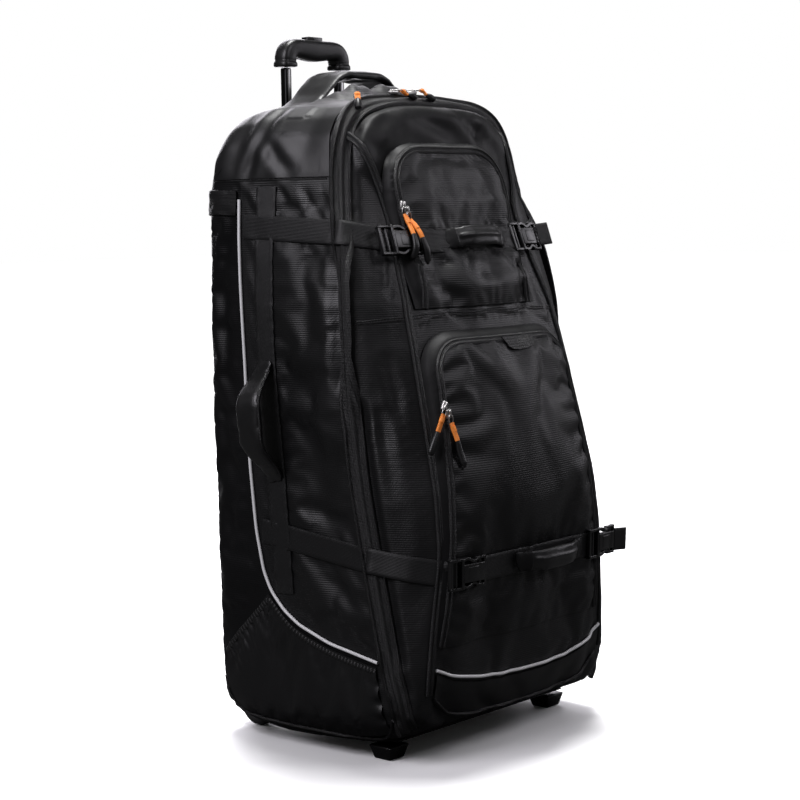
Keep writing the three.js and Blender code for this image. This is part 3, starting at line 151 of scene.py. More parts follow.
# Mouth of the bag where the main zip runs: depth, height, half width in mm
ZIP_LINE = [
    (-164, 44, 232), (-148, 123, 246), (-126, 223, 246), (-108, 310, 246),
    (-85, 426, 246), (-70, 545, 246), (-64, 650, 246), (-55, 730, 238),
    (-38, 800, 221), (-24, 860, 208), (-16, 910, 198), (-10, 950, 180),
    (-8, 974, 150), (-6, 984, 105), (-6, 988, 50), (-6, 989, 0),
]
# Side straps: depth and height at the back end and at the zip in mm
SIDE_STRAPS = [[(144, 797), (-42, 786)], [(112, 333), (-108, 309)]]
# Creases pressed by use, on the left and the right alike:
# start and end depth and height, half width, depth in mm
SIDE_CREASES = [
    (108, 980, 122, 925, 9, 5.0), (122, 925, 139, 872, 8, 5.0), (112, 930, 90, 902, 8, 3.5),
    (90, 902, 62, 874, 9, 4.0), (150, 960, 160, 900, 16, 3.0), (30, 970, 44, 900, 18, 2.5),
    (196, 720, 186, 560, 10, 4.0), (208, 540, 184, 430, 11, 4.5), (178, 400, 198, 300, 10, 3.5),
    (170, 800, 192, 730, 9, 3.0), (40, 760, -30, 700, 11, 2.5), (20, 380, -70, 350, 11, 3.0),
    (10, 290, -80, 240, 10, 2.5),
]
# Fold of the top cloth: middle across and in depth, half length, height in metres
FOLD_X, FOLD_Y, FOLD_HALF, FOLD_HIGH = 0.006, 0.080, 0.108, 0.029
FACES_OUT = (bpy.ops.mesh.normals_make_consistent, {"inside": False})


def activate(obj):
    bpy.ops.object.select_all(action="DESELECT")
    obj.select_set(True)
    bpy.context.view_layer.objects.active = obj


def apply(obj, kind, **settings):
    activate(obj)
    modifier = obj.modifiers.new(kind.lower(), kind)
    for key, value in settings.items():
        setattr(modifier, key, value)
    bpy.ops.object.modifier_apply(modifier=modifier.name)


# Edit mode operators, each done on the whole mesh with its settings
def edit_all(obj, *steps):
    activate(obj)
    bpy.ops.object.mode_set(mode="EDIT")
    for step, settings in steps:
        bpy.ops.mesh.select_all(action="SELECT")
        step(**settings)
    bpy.ops.object.mode_set(mode="OBJECT")


def read_all(obj, what):
    flat = np.empty(len(obj.data.vertices) * 3)
    obj.data.vertices.foreach_get(what, flat)
    return flat.reshape(-1, 3)


def points(obj):
    return read_all(obj, "co")


def normals(obj):
    return read_all(obj, "normal")


def put_points(obj, places):
    obj.data.vertices.foreach_set("co", np.asarray(places, dtype=float).ravel())
    obj.data.update()


def copy_node(node, name):
    obj = bpy.data.objects.new(name, nodes[node].data.copy())
    obj.data.materials.clear()
    bpy.context.collection.objects.link(obj)
    obj.matrix_world = nodes[node].matrix_world.copy()
    activate(obj)
    bpy.ops.object.transform_apply(location=True, rotation=True, scale=True)
    edit_all(obj, (bpy.ops.mesh.remove_doubles, {"threshold": 0.00002}), FACES_OUT)
    return obj


def keep_faces(obj, wanted):
    activate(obj)
    bpy.ops.object.mode_set(mode="EDIT")
    bpy.ops.mesh.select_mode(type="FACE")
    bpy.ops.mesh.select_all(action="DESELECT")
    bpy.ops.object.mode_set(mode="OBJECT")
    for face in obj.data.polygons:
        face.select = not wanted(face)
    bpy.ops.object.mode_set(mode="EDIT")
    bpy.ops.mesh.delete(type="FACE")
    bpy.ops.object.mode_set(mode="OBJECT")


def tree_of(*objs):
    places, faces = [], []
    for obj in objs:
        base = len(places)
        places += [v.co.copy() for v in obj.data.vertices]
        faces += [[base + i for i in f.vertices] for f in obj.data.polygons]
    return BVHTree.FromPolygons(places, faces)


def dots_tree(dots):
    tree = KDTree(len(dots))
    for index, dot in enumerate(dots):
        tree.insert(dot, index)
    tree.balance()
    return tree


def outer_skin(node, name, heart, mesh_size):
    skin = copy_node(node, name)
    keep_faces(skin, lambda face: (face.center - heart).dot(face.normal) > 0)
    wall = tree_of(skin)
    edit_all(skin, (bpy.ops.mesh.fill_holes, {"sides": 0}), FACES_OUT)
    apply(skin, "REMESH", mode="VOXEL", voxel_size=mesh_size)
    keep_faces(skin, lambda face: wall.find_nearest(face.center)[3] < 0.012)
    apply(skin, "SMOOTH", factor=0.5, iterations=8)
    return skin


def run_of(table, step=6.0):
    line = np.array(table, dtype=float)
    length = np.concatenate([[0], np.cumsum(np.linalg.norm(np.diff(line, axis=0), axis=1))])
    at = np.linspace(0, length[-1], max(2, int(length[-1] / step) + 1))
    return np.stack([np.interp(at, length, line[:, k]) for k in range(line.shape[1])], axis=1)


def nearness(places, runs, reach):
    dots = np.concatenate([run_of(run) for run in runs]) / 1000
    seams = dots_tree([(a, b, 0) for a, b in dots])
    away = np.array([seams.find((a, b, 0))[2] for a, b in places])
    return np.clip(1.4 - away / reach, 0, 1)


def rim_of(obj):
    uses = {}
    for face in obj.data.polygons:
        for edge in face.edge_keys:
            uses[edge] = uses.get(edge, 0) + 1
    return sorted({corner for edge, count in uses.items() if count == 1 for corner in edge})


# Slack cloth: it grows by its slack, is blown out a little, and moves no further than the cap
def let_out(obj, held, slack, pressure, cap, stiff, bend):
    start = points(obj).copy()
    pins = obj.vertex_groups.new(name="held")
    for index, weight in enumerate(held):
        if weight > 0.01:
            pins.add([index], float(weight), "REPLACE")
    activate(obj)
    cloth = obj.modifiers.new("cloth", "CLOTH")
    cloth.settings.quality = 4
    cloth.settings.mass = 0.25
    cloth.settings.tension_stiffness = stiff
    cloth.settings.compression_stiffness = stiff
    cloth.settings.shear_stiffness = 2.0
    cloth.settings.bending_stiffness = bend
    cloth.settings.air_damping = 3.0
    cloth.settings.effector_weights.gravity = 0
    cloth.settings.vertex_group_mass = "held"
    cloth.settings.shrink_min = -slack
    cloth.settings.use_pressure = pressure > 0
    cloth.settings.uniform_pressure_force = pressure
    cloth.collision_settings.use_collision = False
    cloth.collision_settings.use_self_collision = False
    cloth.point_cache.frame_start = 1
    cloth.point_cache.frame_end = CLOTH_STEPS
    for step in range(1, CLOTH_STEPS + 1):
        bpy.context.scene.frame_set(step)
    bpy.ops.object.modifier_apply(modifier="cloth")
    bpy.context.scene.frame_set(1)
    moved = points(obj) - start
    far = np.linalg.norm(moved, axis=1)
    moved *= (np.tanh(far / cap) * cap / np.maximum(far, 1e-9))[:, None]
    put_points(obj, start + moved)
    obj.vertex_groups.clear()


# A crease in mm: a groove with a low welt along each side, fading towards its ends
def press(obj, start, end, wide, deep, side=0):
    start, end, wide, deep = np.array(start) / 1000, np.array(end) / 1000, wide / 1000, deep / 1000
    spots = points(obj)
    places = spots.copy()
    if side:
        # On a side, only depth and height count.
        places[:, 0] = np.where(side * normals(obj)[:, 0] > 0.25, start[0], 9)
    run = end - start
    share = np.clip((places - start) @ run / (run @ run), 0, 1)
    off = np.linalg.norm(places - (start + share[:, None] * run), axis=1)
    fade = 0.35 + 0.65 * np.sin(math.pi * np.clip(share, 0.02, 0.98)) ** 0.7
    dent = np.exp(-((off / wide) ** 2)) - 0.42 * np.exp(-(((off - 2.1 * wide) / wide) ** 2))
    put_points(obj, spots - normals(obj) * (deep * fade * dent)[:, None])


shell = outer_skin("main_shell", "shell_cloth", SHELL_HEART, SHELL_MESH)
spots, out = points(shell), normals(shell)
on_side = np.abs(out[:, 0]) > 0.5
side_runs = [SIDE_PIPING, SIDE_WEBBING, CORNER_EDGE, YOKE_EDGE] + SIDE_STRAPS
side_runs.append([(y, z) for y, z, half in ZIP_LINE[:12]])
held = np.zeros(len(spots))
held[on_side] = nearness(spots[on_side][:, 1:], side_runs, 0.016)
# The back is stretched over its frame, and the bottom over its tray.
held = np.maximum(held, np.clip((out[:, 1] - 0.5) * 2, 0, 0.9))
held = np.maximum(held, np.clip((-out[:, 2] - 0.4) * 2, 0, 1))
# The upper corners are stiffened by the yokes sewn over them.
held = np.maximum(held, np.clip((spots[:, 2] - 0.868) / 0.01, 0, 0.95))
held[rim_of(shell)] = 1
let_out(shell, held, slack=0.016, pressure=0.4, cap=0.007, stiff=6.0, bend=1.6)
# The top cloth is crumpled up into a fold between the mouth and the carry handle.
spots = points(shell)
crown = np.clip((spots[:, 2] - 0.955) / 0.02, 0, 1)
run = spots[:, 0] - FOLD_X
lean = spots[:, 1] - FOLD_Y + 0.005 * np.sin(run * 70)
ridge = np.exp(-((run / FOLD_HALF) ** 6) - (lean / np.where(lean < 0, 0.034, 0.018)) ** 2)
ripple = 0.90 + 0.10 * np.sin(run * 95 + lean * 60) + 0.06 * np.sin(run * 190 - lean * 90)
spots[:, 2] += crown * FOLD_HIGH * ridge * ripple
put_points(shell, spots)
for y0, z0, y1, z1, wide, deep in SIDE_CREASES:
    for sign in (-1, 1):
        edge = MID_X + sign * HALF_WIDTH
        press(shell, (edge, y0, z0), (edge, y1, z1), wide, deep, sign)

# Raised front
# A second ripstop panel with slanted gussets, sewn to the zip tape round the mouth and to piping at its edges.
# It is made as the shell is, and above the upper strap it is drawn flat out to its piping.
LID_HEART = Vector((0.02, 0.06, 0.48))
LID_MESH = 0.005
# Where the piping runs: height, half width, depth in mm
FRONT_EDGE = [
    (932, 184, -14), (916, 180, -40), (890, 171, -49), (861, 161, -55), (820, 152, -64),
    (780, 153, -78), (660, 174, -126), (500, 184, -166), (400, 190, -189), (311, 194, -198),
    (220, 205, -192), (130, 212, -186), (112, 211, -184),
]
# The front's own face: height, half width, depth in mm
LID_EDGE = [
    (60, 208, -174), (130, 212, -186), (220, 205, -192), (311, 194, -198), (400, 190, -189),
    (500, 184, -166), (660, 174, -126), (797, 150, -70), (900, 126, -50), (975, 100, -46),
]
# Pockets: low edge, high edge, corner radius, middle, and the half width at some heights in mm
POCKETS = {
    "upper": (672, 918, 70, 1, [(672, 140), (918, 137)]),
    "lower": (182, 638, 64, 14, [(182, 200), (311, 187), (500, 177), (638, 168)]),
}
# Height of each strap on the front in mm
STRAP_Z = {"upper": 771, "lower": 290}
# Creases of the front: start and end across, depth and height, half width, depth in mm
FRONT_CREASES = [
    (-129, -47, 936, -93, -46, 967, 10, 3.5), (-40, -46, 962, 40, -48, 936, 12, 4.5),
    (70, -46, 964, 132, -48, 918, 12, 5.0), (120, -46, 955, 96, -48, 926, 9, 3.5),
    (-120, -48, 900, -150, -50, 925, 12, 3.0), (-74, -99, 745, 5, -111, 717, 9, 3.4),
    (5, -111, 717, 136, -104, 733, 9, 3.4), (-186, -110, 600, -176, -130, 480, 9, 3.5),
    (-205, -110, 520, -196, -130, 400, 9, 3.5),
]


# One column of a table, read between its rows, which run up or down
def read_off(table, at, column, by=0):
    sign = 1 if table[-1][by] > table[0][by] else -1
    return float(np.interp(sign * at, [sign * row[by] for row in table], [row[column] for row in table]))


# The piping spreads wide on the left and stays closer in on the right, where the front is drawn back.
def fold_half(z, x):
    return read_off(FRONT_EDGE, z, 1) - (0.45 * max(0.0, z - 861) if x > MID_X else 0.0)


def pocket_half(name, z):
    low, high, radius, middle, sides = POCKETS[name]
    rise = max(0.0, z - (high - radius))
    return read_off(sides, z, 1) - (radius - math.sqrt(max(0.0, radius * radius - rise * rise)))


def pocket_rim(name):
    low, high, radius, middle, sides = POCKETS[name]
    heights = list(np.linspace(low, high - radius, 24))
    heights += [high - radius + radius * math.sin(a) for a in np.linspace(0.1, math.pi / 2, 14)]
    left = [(middle - pocket_half(name, z), z) for z in heights]
    right = [(middle + pocket_half(name, z), z) for z in reversed(heights)]
    return left + right


lid = outer_skin("front_lid", "lid_cloth", LID_HEART, LID_MESH)
spots = points(lid)
for k, (x, y, z) in enumerate(spots * 1000):
    fold = fold_half(z, x)
    mouth = read_off(ZIP_LINE, z, 2, 1) - 4
    mouth_y = read_off(ZIP_LINE, z, 0, 1)
    face_y = read_off(LID_EDGE, z, 2)
    across = abs(x - MID_X)
    share = min(1, max(0, (z - 770) / 40)) * min(1, max(0, (948 - z) / 40))
    if share > 0 and read_off(LID_EDGE, z, 1) - 25 < across < mouth:
        flat_y = face_y
        if across >= fold:
            flat_y = face_y + (mouth_y - face_y) * (across - fold) / max(1, mouth - fold)
        spots[k, 1] += share * (min(y, flat_y) - y) / 1000
put_points(lid, spots)
apply(lid, "SMOOTH", factor=0.5, iterations=5)
spots, out = points(lid), normals(lid)
facing = out[:, 1] < -0.25
runs = [[(MID_X + sign * half, z) for z, half, depth in FRONT_EDGE] for sign in (-1, 1)]
runs += [pocket_rim("upper"), pocket_rim("lower")]
for name, left, right in (("upper", -180, 215), ("lower", -200, 240)):
    runs.append([(left, STRAP_Z[name]), (right, STRAP_Z[name])])
held = np.zeros(len(spots))
held[facing] = nearness(spots[facing][:, [0, 2]], runs, 0.014)
# Above the strap the front is stretched over the mouth's frame.
held = np.maximum(held, np.clip((spots[:, 2] - 0.79) / 0.02, 0, 0.72))
# The gussets are drawn taut between the zip and the piping.
held = np.maximum(held, np.clip((np.abs(out[:, 0]) - 0.3) * 3, 0, 0.6))
held[rim_of(lid)] = 1
let_out(lid, held, slack=0.016, pressure=0.5, cap=0.008, stiff=6.0, bend=2.4)
for row in FRONT_CREASES:
    press(lid, row[:3], row[3:6], *row[6:])

# Ripstop cloth
# Fine black nylon with a light coating: close level ribs, a finer upright thread and a soft uneven gloss.
# The shell and the raised front are cut from it, and behind the pale piping and on the top it is duller.
RIPSTOP_GLOSS, DULL_GLOSS = 0.42, 0.2
DULL_TOP = 0.93


def group_of(name, inputs, outputs):
    tree = bpy.data.node_groups.new(name, "ShaderNodeTree")
    for in_out, sockets in (("INPUT", inputs), ("OUTPUT", outputs)):
        for label, kind in sockets:
            tree.interface.new_socket(name=label, in_out=in_out, socket_type=kind)
    return tree, tree.nodes.new("NodeGroupInput"), tree.nodes.new("NodeGroupOutput")


def sum_node(tree, task, *values):
    node = tree.nodes.new("ShaderNodeMath")
    node.operation = task
    for socket, value in zip(node.inputs, values):
        if isinstance(value, (int, float)):
            socket.default_value = value
        else:
            tree.links.new(value, socket)
    return node.outputs[0]


# Ribs along one direction: a rounded ridge repeated at a pitch along a coordinate
ribs, ribs_in, ribs_out = group_of(
    "thread_ribs", [("Along", "NodeSocketFloat"), ("Pitch", "NodeSocketFloat")],
    [("Height", "NodeSocketFloat")])
turn = sum_node(ribs, "DIVIDE", ribs_in.outputs["Along"], ribs_in.outputs["Pitch"])
turn = sum_node(ribs, "MULTIPLY", turn, math.pi)
ridge = sum_node(ribs, "ABSOLUTE", sum_node(ribs, "SINE", turn))
ribs.links.new(ridge, ribs_out.inputs["Height"])

# Mottle: slow uneven change over the surface
mottle, mottle_in, mottle_out = group_of(
    "soft_mottle", [("Vector", "NodeSocketVector"), ("Scale", "NodeSocketFloat")],
    [("Value", "NodeSocketFloat")])
cloud = mottle.nodes.new("ShaderNodeTexNoise")
cloud.inputs["Detail"].default_value = 3
mottle.links.new(mottle_in.outputs["Vector"], cloud.inputs["Vector"])
mottle.links.new(mottle_in.outputs["Scale"], cloud.inputs["Scale"])
mottle.links.new(cloud.outputs["Fac"], mottle_out.inputs["Value"])


def new_paint(name):
    paint = bpy.data.materials.new(name)
    paint.use_nodes = True
    return paint, paint.node_tree, paint.node_tree.nodes["Principled BSDF"]


def use_group(tree, group, **values):
    node = tree.nodes.new("ShaderNodeGroup")
    node.node_tree = group
    for label, value in values.items():
        if isinstance(value, (int, float)):
            node.inputs[label].default_value = value
        else:
            tree.links.new(value, node.inputs[label])
    return node.outputs[0]


def map_range(tree, value, low, high, from_low=0.0, from_high=1.0):
    node = tree.nodes.new("ShaderNodeMapRange")
    node.inputs["From Min"].default_value = from_low
    node.inputs["From Max"].default_value = from_high
    node.inputs["To Min"].default_value = low
    node.inputs["To Max"].default_value = high
    tree.links.new(value, node.inputs["Value"])
    return node.outputs["Result"]


def roughen(tree, shader, value, low, high, from_low=0.0, from_high=1.0):
    tree.links.new(map_range(tree, value, low, high, from_low, from_high), shader.inputs["Roughness"])


def tint(tree, shader, value, dark, light):
    node = tree.nodes.new("ShaderNodeMix")
    node.data_type = "RGBA"
    tree.links.new(value, node.inputs["Factor"])
    node.inputs["A"].default_value = (*dark, 1)
    node.inputs["B"].default_value = (*light, 1)
    tree.links.new(node.outputs["Result"], shader.inputs["Base Color"])


def raise_bump(tree, shader, height, depth, strength):
    node = tree.nodes.new("ShaderNodeBump")
    node.inputs["Distance"].default_value = depth
    node.inputs["Strength"].default_value = strength
    tree.links.new(height, node.inputs["Height"])
    tree.links.new(node.outputs["Normal"], shader.inputs["Normal"])


def object_axes(tree):
    where = tree.nodes.new("ShaderNodeTexCoord")
    split = tree.nodes.new("ShaderNodeSeparateXYZ")
    tree.links.new(where.outputs["Object"], split.inputs["Vector"])
    return where.outputs["Object"], split.outputs["X"], split.outputs["Y"], split.outputs["Z"]


# A finished piece gets its material and the body that carries it, and the nodes that it stands for are hidden;
# the slot it is given is not used.
def fit(obj, paint, slot, *stands_for, body="bag"):
    if paint:
        obj.data.materials.clear()
        obj.data.materials.append(paint)
    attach(obj, body)
    if stands_for:
        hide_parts(*stands_for)
    return obj


ripstop, tree, shader = new_paint("ripstop_black")
place, x_axis, y_axis, z_axis = object_axes(tree)
level_rib = use_group(tree, ribs, Along=z_axis, Pitch=0.0032)
fine_rib = use_group(tree, ribs, Along=sum_node(tree, "ADD", x_axis, y_axis), Pitch=0.0016)
thread = sum_node(tree, "MULTIPLY_ADD", fine_rib, 0.35, level_rib)
patch = use_group(tree, mottle, Vector=place, Scale=9.0)
weave = sum_node(tree, "MULTIPLY", patch, level_rib)
tint(tree, shader, weave, (0.0018, 0.0018, 0.0021), (0.0062, 0.0062, 0.0068))
roughen(tree, shader, patch, 0.36, 0.52, 0.3, 0.7)
raise_bump(tree, shader, thread, 0.0006, 0.32)
shader.inputs["Specular IOR Level"].default_value = RIPSTOP_GLOSS
dull_ripstop = ripstop.copy()
dull_ripstop.name = "ripstop_dull"
dull_ripstop.node_tree.nodes["Principled BSDF"].inputs["Specular IOR Level"].default_value = DULL_GLOSS
for skin, node in ((shell, "main_shell"), (lid, "front_lid")):
    activate(skin)
    bpy.ops.object.shade_smooth()
    fit(skin, ripstop, "ripstop", node)
shell.data.materials.append(dull_ripstop)
piping_y, piping_z = np.array(SIDE_PIPING[::-1]).T / 1000
for face in shell.data.polygons:
    x, y, z = face.center
    behind = y > np.interp(z, piping_z, piping_y)
    face.material_index = 1 if behind or z > DULL_TOP else 0

# Coated panels
# Smooth coated cloth sewn over the shell's upper and lower corners and along the foot of the front.
# Each is the outer face of its CAD sheet, cut finer, laid on the shell and given its thickness.
PANEL_LIFT, PANEL_THICK = 0.0012, 0.0016
# Panels and how often each face is cut
PANELS = [("yoke_left", 6), ("yoke_right", 6), ("corner_left", 15), ("corner_right", 15), ("kick_panel", 5)]
# Gathers under the elastic: height at the back and in front, reach below it; slack at the zip; in mm
GATHER_BACK, GATHER_FRONT, GATHER_REACH, ZIP_SLACK = 2.6, 0.8, 24, 2.6
COATED_FRONT_LOW = 775


def soften(obj, degrees):
    activate(obj)
    bpy.ops.object.shade_smooth_by_angle(angle=math.radians(degrees))


def lay_panel(node, name, ground, lift, cuts, bare=0.35):
    cloth = copy_node(node, name)
    keep_faces(cloth, lambda face: (face.center - SHELL_HEART).normalized().dot(face.normal) > bare)
    edit_all(
        cloth, (bpy.ops.mesh.tris_convert_to_quads, {"face_threshold": 1.3, "shape_threshold": 1.3}),
        (bpy.ops.mesh.subdivide, {"number_cuts": cuts}))
    settled = []
    for spot in points(cloth):
        near, out, index, far = ground.find_nearest(Vector(spot))
        settled.append(near + out * lift)
    put_points(cloth, settled)
    apply(cloth, "SMOOTH", factor=0.5, iterations=2)
    return cloth


def thicken(obj, thick):
    apply(obj, "SOLIDIFY", thickness=thick, offset=1)
    soften(obj, 40)


# A finish with a fine grain whose colour and gloss change in soft patches
def mottled_paint(name, patch_scale, dark, light, rough, grain_scale, depth, strength, gloss=0.5):
    paint, tree, shader = new_paint(name)
    place = object_axes(tree)[0]
    patch = use_group(tree, mottle, Vector=place, Scale=patch_scale)
    tint(tree, shader, patch, dark, light)
    roughen(tree, shader, patch, *rough, 0.3, 0.7)
    raise_bump(tree, shader, use_group(tree, mottle, Vector=place, Scale=grain_scale), depth, strength)
    shader.inputs["Specular IOR Level"].default_value = gloss
    return paint


coated = mottled_paint(
    "coated_black", 7.0, (0.0024, 0.0024, 0.0026), (0.0062, 0.0062, 0.0068), (0.40, 0.46),
    620.0, 0.0004, 0.4, 0.40)
side_cloth = mottled_paint(
    "dull_coated_black", 12.0, (0.0020, 0.0020, 0.0022), (0.0052, 0.0052, 0.0057), (0.46, 0.60),
    700.0, 0.0005, 0.4, 0.24)
skin_tree = tree_of(shell, lid)
# Around the upper pocket the raised front is coated too, as far as its piping and the seam below.
lid.data.materials.append(side_cloth)
for face in lid.data.polygons:
    x, y, z = face.center * 1000
    inside = z > COATED_FRONT_LOW and abs(x - MID_X) < fold_half(z, x)
    face.material_index = 1 if inside and face.normal.y < -0.1 else 0
panels = []
edge = run_of(CORNER_EDGE, 2.0)
along = np.concatenate([[0], np.cumsum(np.linalg.norm(np.diff(edge, axis=0), axis=1))])
for node, cuts in PANELS:
    cloth = lay_panel(node, node.replace("_panel", "") + "_cloth", skin_tree, PANEL_LIFT, cuts)
    if node.startswith("corner"):
        # The elastic gathers the cloth below it into short folds, most at the back.
        spots, out = points(cloth), normals(cloth)
        for k, (x, y, z) in enumerate(spots * 1000):
            off = np.hypot(edge[:, 0] - y, edge[:, 1] - z)
            at = int(off.argmin())
            fold = GATHER_BACK if y > 95 else GATHER_FRONT
            fold *= math.exp(-off[at] / GATHER_REACH) * (1 - math.exp(-((off[at] / 7) ** 2)))
            fold *= math.sin(along[at] / 2.6 + 1.2 * math.sin(along[at] / 9))
            slack = ZIP_SLACK * math.exp(-((y + 128) / 16) ** 2) * math.sin(z / 4.2)
            slack *= min(1, max(0, (z - 60) / 30))
            spots[k] += out[k] * (fold + slack) / 1000
        put_points(cloth, spots)
    thicken(cloth, PANEL_THICK)
    panels.append(fit(cloth, coated, "coated", node))

# Front pockets
# Two flat ripstop pockets, cut wider than the front behind them so that they stand off it and crease.
# A grid is shaped to each pocket's outline on the front and let out as slack cloth between its seams.
# How far each stands off the front, and how wide its sloping side is: height, stand, side in mm
POCKET_STAND = {
    "upper": [(672, 8, 16), (735, 13, 18), (771, 10, 16), (830, 17, 12), (880, 15, 9), (918, 11, 6)],
    "lower": [(182, 5, 9), (290, 5, 9), (420, 9, 11), (560, 16, 16), (600, 15, 14), (638, 13, 12)],
}
POCKET_MESH = {"upper": (84, 70), "lower": (84, 120)}
POCKET_LIFT, POCKET_THICK = 0.0018, 0.0014
INTO_FRONT = Vector((0, 1, 0))
pockets = {}
for name, (low, high, radius, middle, sides) in POCKETS.items():
    table = POCKET_STAND[name]
    rim = dots_tree([(x, z, 0) for x, z in run_of(pocket_rim(name), 2.0)])
    columns, rows = POCKET_MESH[name]
    bpy.ops.mesh.primitive_grid_add(x_subdivisions=columns, y_subdivisions=rows, size=2)
    pocket = bpy.context.object
    pocket.name = name + "_pocket_cloth"
    spots = []
    for vertex in pocket.data.vertices:
        u, v = vertex.co.x, 1 - (1 - (vertex.co.y + 1) / 2) ** 1.5
        z = low + (high - low) * v
        x = middle + math.copysign(abs(u) ** 0.9, u) * pocket_half(name, z)
        hit, out, index, far = skin_tree.ray_cast(Vector((x / 1000, -1, z / 1000)), INTO_FRONT)
        climb = min(1.0, rim.find((x, z, 0))[2] / read_off(table, z, 2))
        swell = read_off(table, z, 1) * (climb - 0.12 * math.sin(2 * math.pi * climb)) * min(1, 8 * v)
        spots.append(hit - INTO_FRONT * (POCKET_LIFT + swell / 1000))
    put_points(pocket, spots)
    edit_all(pocket, FACES_OUT)
    if sum(face.normal.y for face in pocket.data.polygons) > 0:
        edit_all(pocket, (bpy.ops.mesh.flip_normals, {}))
    held = np.zeros(len(spots))
    held[rim_of(pocket)] = 1
    under_strap = 1.2 - np.abs(points(pocket)[:, 2] - STRAP_Z[name] / 1000) / 0.02
    held = np.maximum(held, np.clip(under_strap, 0, 0.8))
    for k, (x, y, z) in enumerate(points(pocket) * 1000):
        if rim.find((x, z, 0))[2] < read_off(table, z, 2) + 4:
            held[k] = max(held[k], 0.85)
    let_out(pocket, held, slack=0.010, pressure=0.35, cap=0.006, stiff=6.0, bend=2.2)
    for row in FRONT_CREASES:
        press(pocket, row[:3], row[3:6], *row[6:])
    thicken(pocket, POCKET_THICK)
    pockets[name] = fit(pocket, ripstop, "ripstop", name + "_pocket")
    # The sloping side is smooth cloth with a duller coating.
    pocket.data.materials.append(side_cloth)
    for face in pocket.data.polygons:
        x, y, z = face.center * 1000
        face.material_index = 1 if rim.find((x, z, 0))[2] < read_off(table, z, 2) else 0
ground_parts = [shell, lid, pockets["upper"], pockets["lower"]] + panels

# Main zip
# A woven tape with a moulded coil along its middle, sewn down on both edges round the mouth of the bag.
# A flat grid follows the seam, its columns raised into welt, tape and coil, and the cloth dips under it.
# Half the section, from the edge to the coil: side and height in mm
HALF_ZIP = [
    (-16.5, -4), (-16.2, 0.6), (-15.0, 3.0), (-13.4, 4.2), (-11.8, 3.2), (-10.8, 0.9), (-6.6, 0.7), (-4.4, 1.0),
    (-3.0, 2.6),
]
MAIN_ZIP = HALF_ZIP + [(0, 3.6)] + [(-s, h) for s, h in reversed(HALF_ZIP)] + [(0, -4)]
ZIP_LIFT = 0.0018
# The cloth dips within this reach of the seam, fully once it is nearer by the slope's width.
DIP_REACH, DIP_SLOPE, DIP_BELOW = 0.030, 0.012, 0.0012


def smooth_run(places, rounds):
    line = np.array([tuple(p) for p in places])
    for turn in range(rounds):
        line[1:-1] = 0.5 * line[1:-1] + 0.25 * (line[:-2] + line[2:])
    return [Vector(p) for p in line]


def near_run(table, ground):
    return [ground.find_nearest(Vector(spot) / 1000)[0] for spot in run_of(table, 5.0)]


def outs_along(line, ground, reach=4):
    outs = [ground.find_nearest(p)[1] for p in line]
    even = []
    for i in range(len(outs)):
        total = Vector((0, 0, 0))
        for out in outs[max(0, i - reach):i + reach + 1]:
            total += out
        even.append(total.normalized())
    return even


# A section carried along a line, lifted clear of the ground under it; the UV map holds metres along and around
def sweep(name, line, outs, section, ground=None, lift=0.0):
    around = len(section)
    bpy.ops.mesh.primitive_grid_add(x_subdivisions=len(line) - 1, y_subdivisions=around, size=1)
    band = bpy.context.object
    band.name = name
    length = [0.0]
    for a, b in zip(line, line[1:]):
        length.append(length[-1] + (b - a).length)
    girth = [0.0]
    for a, b in zip(section, section[1:] + section[:1]):
        girth.append(girth[-1] + math.hypot(b[0] - a[0], b[1] - a[1]))
    spots = [None] * len(band.data.vertices)
    for i, p in enumerate(line):
        tangent = (line[min(i + 1, len(line) - 1)] - line[max(i - 1, 0)]).normalized()
        side = tangent.cross(outs[i]).normalized()
        out = side.cross(tangent).normalized()
        for j in range(around + 1):
            s, h = section[j % around]
            spot = p + side * s
            if ground is not None:
                near, face_out, index, far = ground.find_nearest(spot)
                depth = (spot - near).dot(face_out)
                if depth < lift and far < 0.03:
                    spot = spot + face_out * (lift - depth)
            spots[j * len(line) + i] = spot + out * h
    put_points(band, spots)
    marks = band.data.uv_layers.active.data
    for loop in band.data.loops:
        i, j = loop.vertex_index % len(line), loop.vertex_index // len(line)
        marks[loop.index].uv = (length[i], girth[j])
    edit_all(
        band, (bpy.ops.mesh.remove_doubles, {"threshold": 0.00001}),
        (bpy.ops.mesh.fill_holes, {"sides": 0}), FACES_OUT)
    soften(band, 50)
    return band


def section_of(rows):
    return [(s / 1000, h / 1000) for s, h in rows]


def band_axes(tree):
    marks = tree.nodes.new("ShaderNodeUVMap")
    split = tree.nodes.new("ShaderNodeSeparateXYZ")
    tree.links.new(marks.outputs["UV"], split.inputs["Vector"])
    return split.outputs["X"], split.outputs["Y"]


